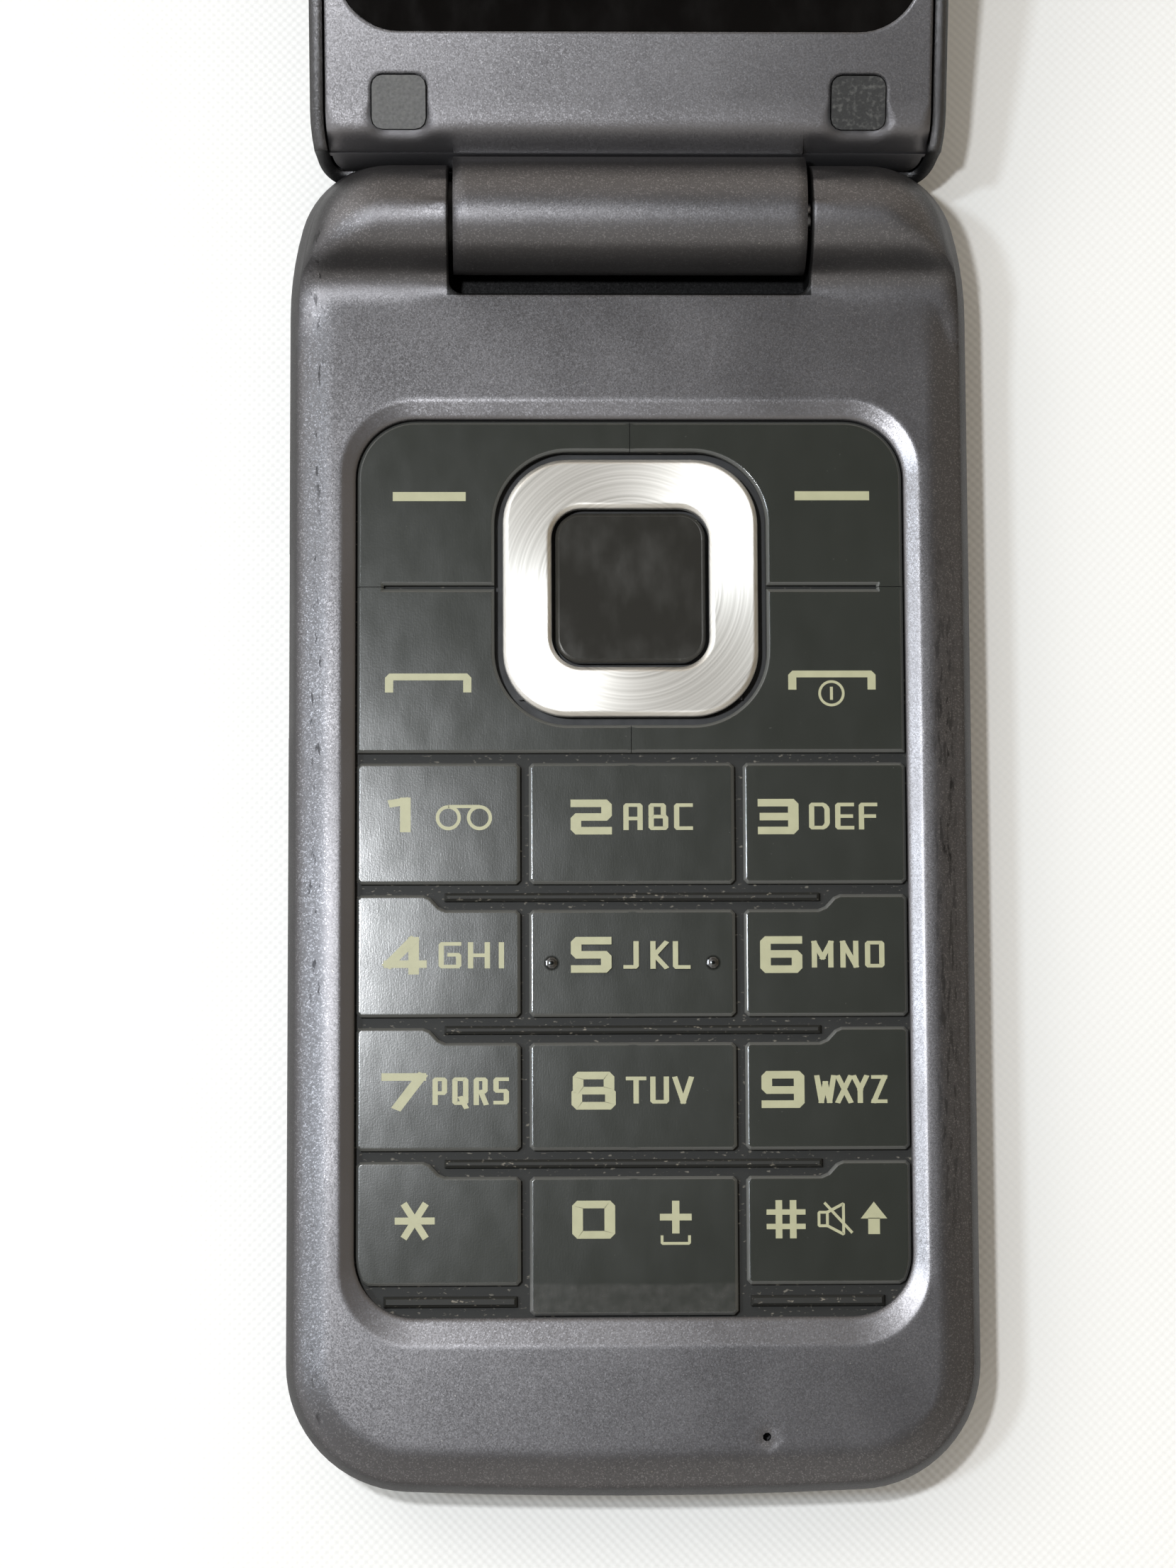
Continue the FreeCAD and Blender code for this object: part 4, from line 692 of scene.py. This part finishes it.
def soften(points, closed, amount):
    """The same line with each square corner cut to two gentle ones."""
    result = []
    count = len(points)
    for number, here in enumerate(points):
        if not closed and number in (0, count - 1):
            result.append(here)
            continue
        for other in (points[number - 1], points[(number + 1) % count]):
            dx, dy = other[0] - here[0], other[1] - here[1]
            share = min(amount / math.hypot(dx, dy), longest_cut)
            result.append((here[0] + dx * share, here[1] + dy * share))
    return result


def add_band(mesh_points, faces, points, closed, across, up, height):
    """Add one ribbon's corners and faces. An open one rises a hair along its way, so its ends can cross."""
    start = len(mesh_points)
    count = len(points)
    rise = 0.0 if closed else point_step
    for edge in ribbon(points, closed, across, up):
        mesh_points += [(x * MM, y * MM, height + rise * step * MM) for step, (x, y) in enumerate(edge)]
    for step in range(count if closed else count - 1):
        following = (step + 1) % count
        faces.append((start + count + step, start + count + following, start + following, start + step))


def add_sign(mesh_points, faces, sign, widths, x0, x1, y0, y1, height):
    """Draw one sign inside its box."""
    across, up = widths
    low_x, low_y = x0 + across / 2, y0 + up / 2
    wide, tall = max(x1 - x0 - across, 0.0), max(y1 - y0 - up, 0.0)
    lines = []
    for points, closed in STROKES[sign]:
        real = [(low_x + wide * x, low_y + tall * y) for x, y in points]
        lines += [(line, closed) for line in split_sharp(real, closed)]
    for number, (line, closed) in enumerate(lines):
        if len(line) > 2:
            line = soften(line, closed, corner_cut * min(across, up))
        add_band(mesh_points, faces, line, closed, across, up, height + number * line_step * MM)
    for corners in SOLID.get(sign, []):
        start = len(mesh_points)
        mesh_points += [(MM * (x0 + (x1 - x0) * x), MM * (y0 + (y1 - y0) * y), height) for x, y in corners]
        faces.append(tuple(range(start, start + len(corners))))


def circle(x, y, radius):
    """Points round a centre, anticlockwise."""
    turns = [math.tau * step / ring_points for step in range(ring_points)]
    return [(x + radius * math.cos(turn), y + radius * math.sin(turn)) for turn in turns]


def print_on(key):
    """All the print of one key as one thin piece that goes with the key."""
    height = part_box(key)[1][2] + print_height * MM
    mesh_points, faces = [], []
    for sign, widths, x0, x1, y0, y1 in LEGENDS[key] + BARS.get(key, []):
        add_sign(mesh_points, faces, sign, widths, x0, x1, y0, y1, height)
    for x, y, radius, width in RINGS.get(key, []):
        add_band(mesh_points, faces, circle(x, y, radius), True, width, width, height)
    mesh = bpy.data.meshes.new("legend_" + key)
    mesh.from_pydata(mesh_points, [], faces)
    mesh.materials.append(paints["legend"])
    piece = bpy.data.objects.new("legend_" + key, mesh)
    scene.collection.objects.link(piece)
    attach(piece, key)


for key in LEGENDS:
    print_on(key)

# Camera, measured from the photograph: its place in millimetres, its turns in radians, its lens in pixels

camera_spot = (-9.615, -28.599, 291.024)
camera_pitch = 0.108569
camera_roll = 0.001812
camera_yaw = -0.0222616
focal_pixels = 5300
photo_height = 2212
sensor_size = 36.0
camera_data = bpy.data.cameras.new("photo_camera")
camera_data.sensor_width = sensor_size
camera_data.sensor_fit = "AUTO"
camera_data.lens = focal_pixels / photo_height * sensor_size
camera_data.clip_start = 10.0 * MM
camera = bpy.data.objects.new("photo_camera", camera_data)
scene.collection.objects.link(camera)
turn = Matrix.Rotation(camera_pitch, 4, "X") @ Matrix.Rotation(camera_yaw, 4, "Y")
turn = turn @ Matrix.Rotation(-camera_roll, 4, "Z")
camera.matrix_world = Matrix.Translation(Vector(camera_spot) * MM) @ turn
scene.camera = camera

# Floor, in metres

floor_reach = 2.0
floor_corners = [(x * floor_reach, y * floor_reach, 0.0) for x, y in ((-1, -1), (1, -1), (1, 1), (-1, 1))]
floor_mesh = bpy.data.meshes.new("floor")
floor_mesh.from_pydata(floor_corners, [], [(0, 1, 2, 3)])
floor_mesh.materials.append(pale_cloth("pale_cloth"))
floor = bpy.data.objects.new("floor", floor_mesh)
scene.collection.objects.link(floor)

# Light: a lamp off to the left draws the shadow, a small one beside the camera gives the sheen


def area_light(name, spot, aim, size, energy, colour):
    """Square lamp, size wide, at a spot and turned towards aim, in millimetres. Its energy is in watts."""
    data = bpy.data.lights.new(name, "AREA")
    data.shape = "SQUARE"
    data.size = size * MM
    data.energy = energy
    data.color = colour
    lamp = bpy.data.objects.new(name, data)
    lamp.location = Vector(spot) * MM
    lamp.rotation_euler = (Vector(spot) - Vector(aim)).to_track_quat("Z", "Y").to_euler()
    lamp.visible_camera = False
    scene.collection.objects.link(lamp)


area_light(
    "window_lamp", spot=(-515.0, 60.0, 925.0), aim=(0.0, 0.0, 0.0),
    size=80.0, energy=2.3, colour=(0.80, 0.90, 1.0),
)
area_light(
    "sheen_lamp", spot=(-64.0, 11.0, 291.0), aim=(-10.0, 0.0, 0.0),
    size=14.0, energy=0.42, colour=(0.94, 0.97, 1.0),
)

# The room seen from the table. Each side has one tone above and one near the table's level, a far corner
# up to the left glows, and straight overhead it is dark. The heights are sines above the table's level.

sides_height = (0.40, 0.10)
overhead_height = (0.97, 0.80)
corner_way = (-0.62, 0.50, 0.60)
corner_tone = (2.9, 2.9, 2.8)
corner_focus = 30.0
not_zero = 0.00001

world = bpy.data.worlds.new("studio")
scene.world = world
world.use_nodes = True
sky = Tree(world.node_tree)
across, along, up = sky.node("SeparateXYZ", Vector=sky.node("TexCoord").outputs["Generated"]).outputs
level = sky.plus(sky.less(1.0, sky.math("POWER", up, 2.0)), not_zero)
near_table = sky.span(up, *sides_height, curve="SMOOTHSTEP")
off_overhead = sky.span(up, *overhead_height, curve="SMOOTHSTEP")
room = (0.0, 0.0, 0.0)
for direction, side, above, below in (
    (across, -1.0, (0.62, 0.61, 0.60), (2.90, 2.90, 2.90)),
    (across, 1.0, (0.25, 0.21, 0.15), (0.44, 0.36, 0.25)),
    (along, 1.0, (0.94, 0.86, 0.76), (0.50, 0.45, 0.37)),
    (along, -1.0, (0.80, 0.77, 0.71), (0.70, 0.66, 0.60)),
):
    part = sky.math("MAXIMUM", sky.times(direction, side), 0.0)
    share = sky.math("DIVIDE", sky.math("POWER", part, 2.0), level)
    change = tuple(low - high for high, low in zip(above, below))
    tone = sky.vector("MULTIPLY_ADD", near_table, change, above)
    room = sky.vector("MULTIPLY_ADD", share, tone, room)
corner = sky.math("MULTIPLY_ADD", along, corner_way[1], sky.times(up, corner_way[2]))
corner = sky.math("MAXIMUM", sky.math("MULTIPLY_ADD", across, corner_way[0], corner), 0.0)
corner = sky.math("POWER", corner, corner_focus)
room = sky.vector("MULTIPLY_ADD", corner, corner_tone, room)
room = sky.vector("MULTIPLY", room, off_overhead)
camera_ray = sky.node("LightPath").outputs["Is Camera Ray"]
background = world.node_tree.nodes["Background"]
put(background.inputs["Color"], sky.vector("MULTIPLY_ADD", camera_ray, (1.0, 1.0, 1.0), room))
put(background.inputs["Strength"], 1.0)

scene.view_settings.view_transform = "Standard"
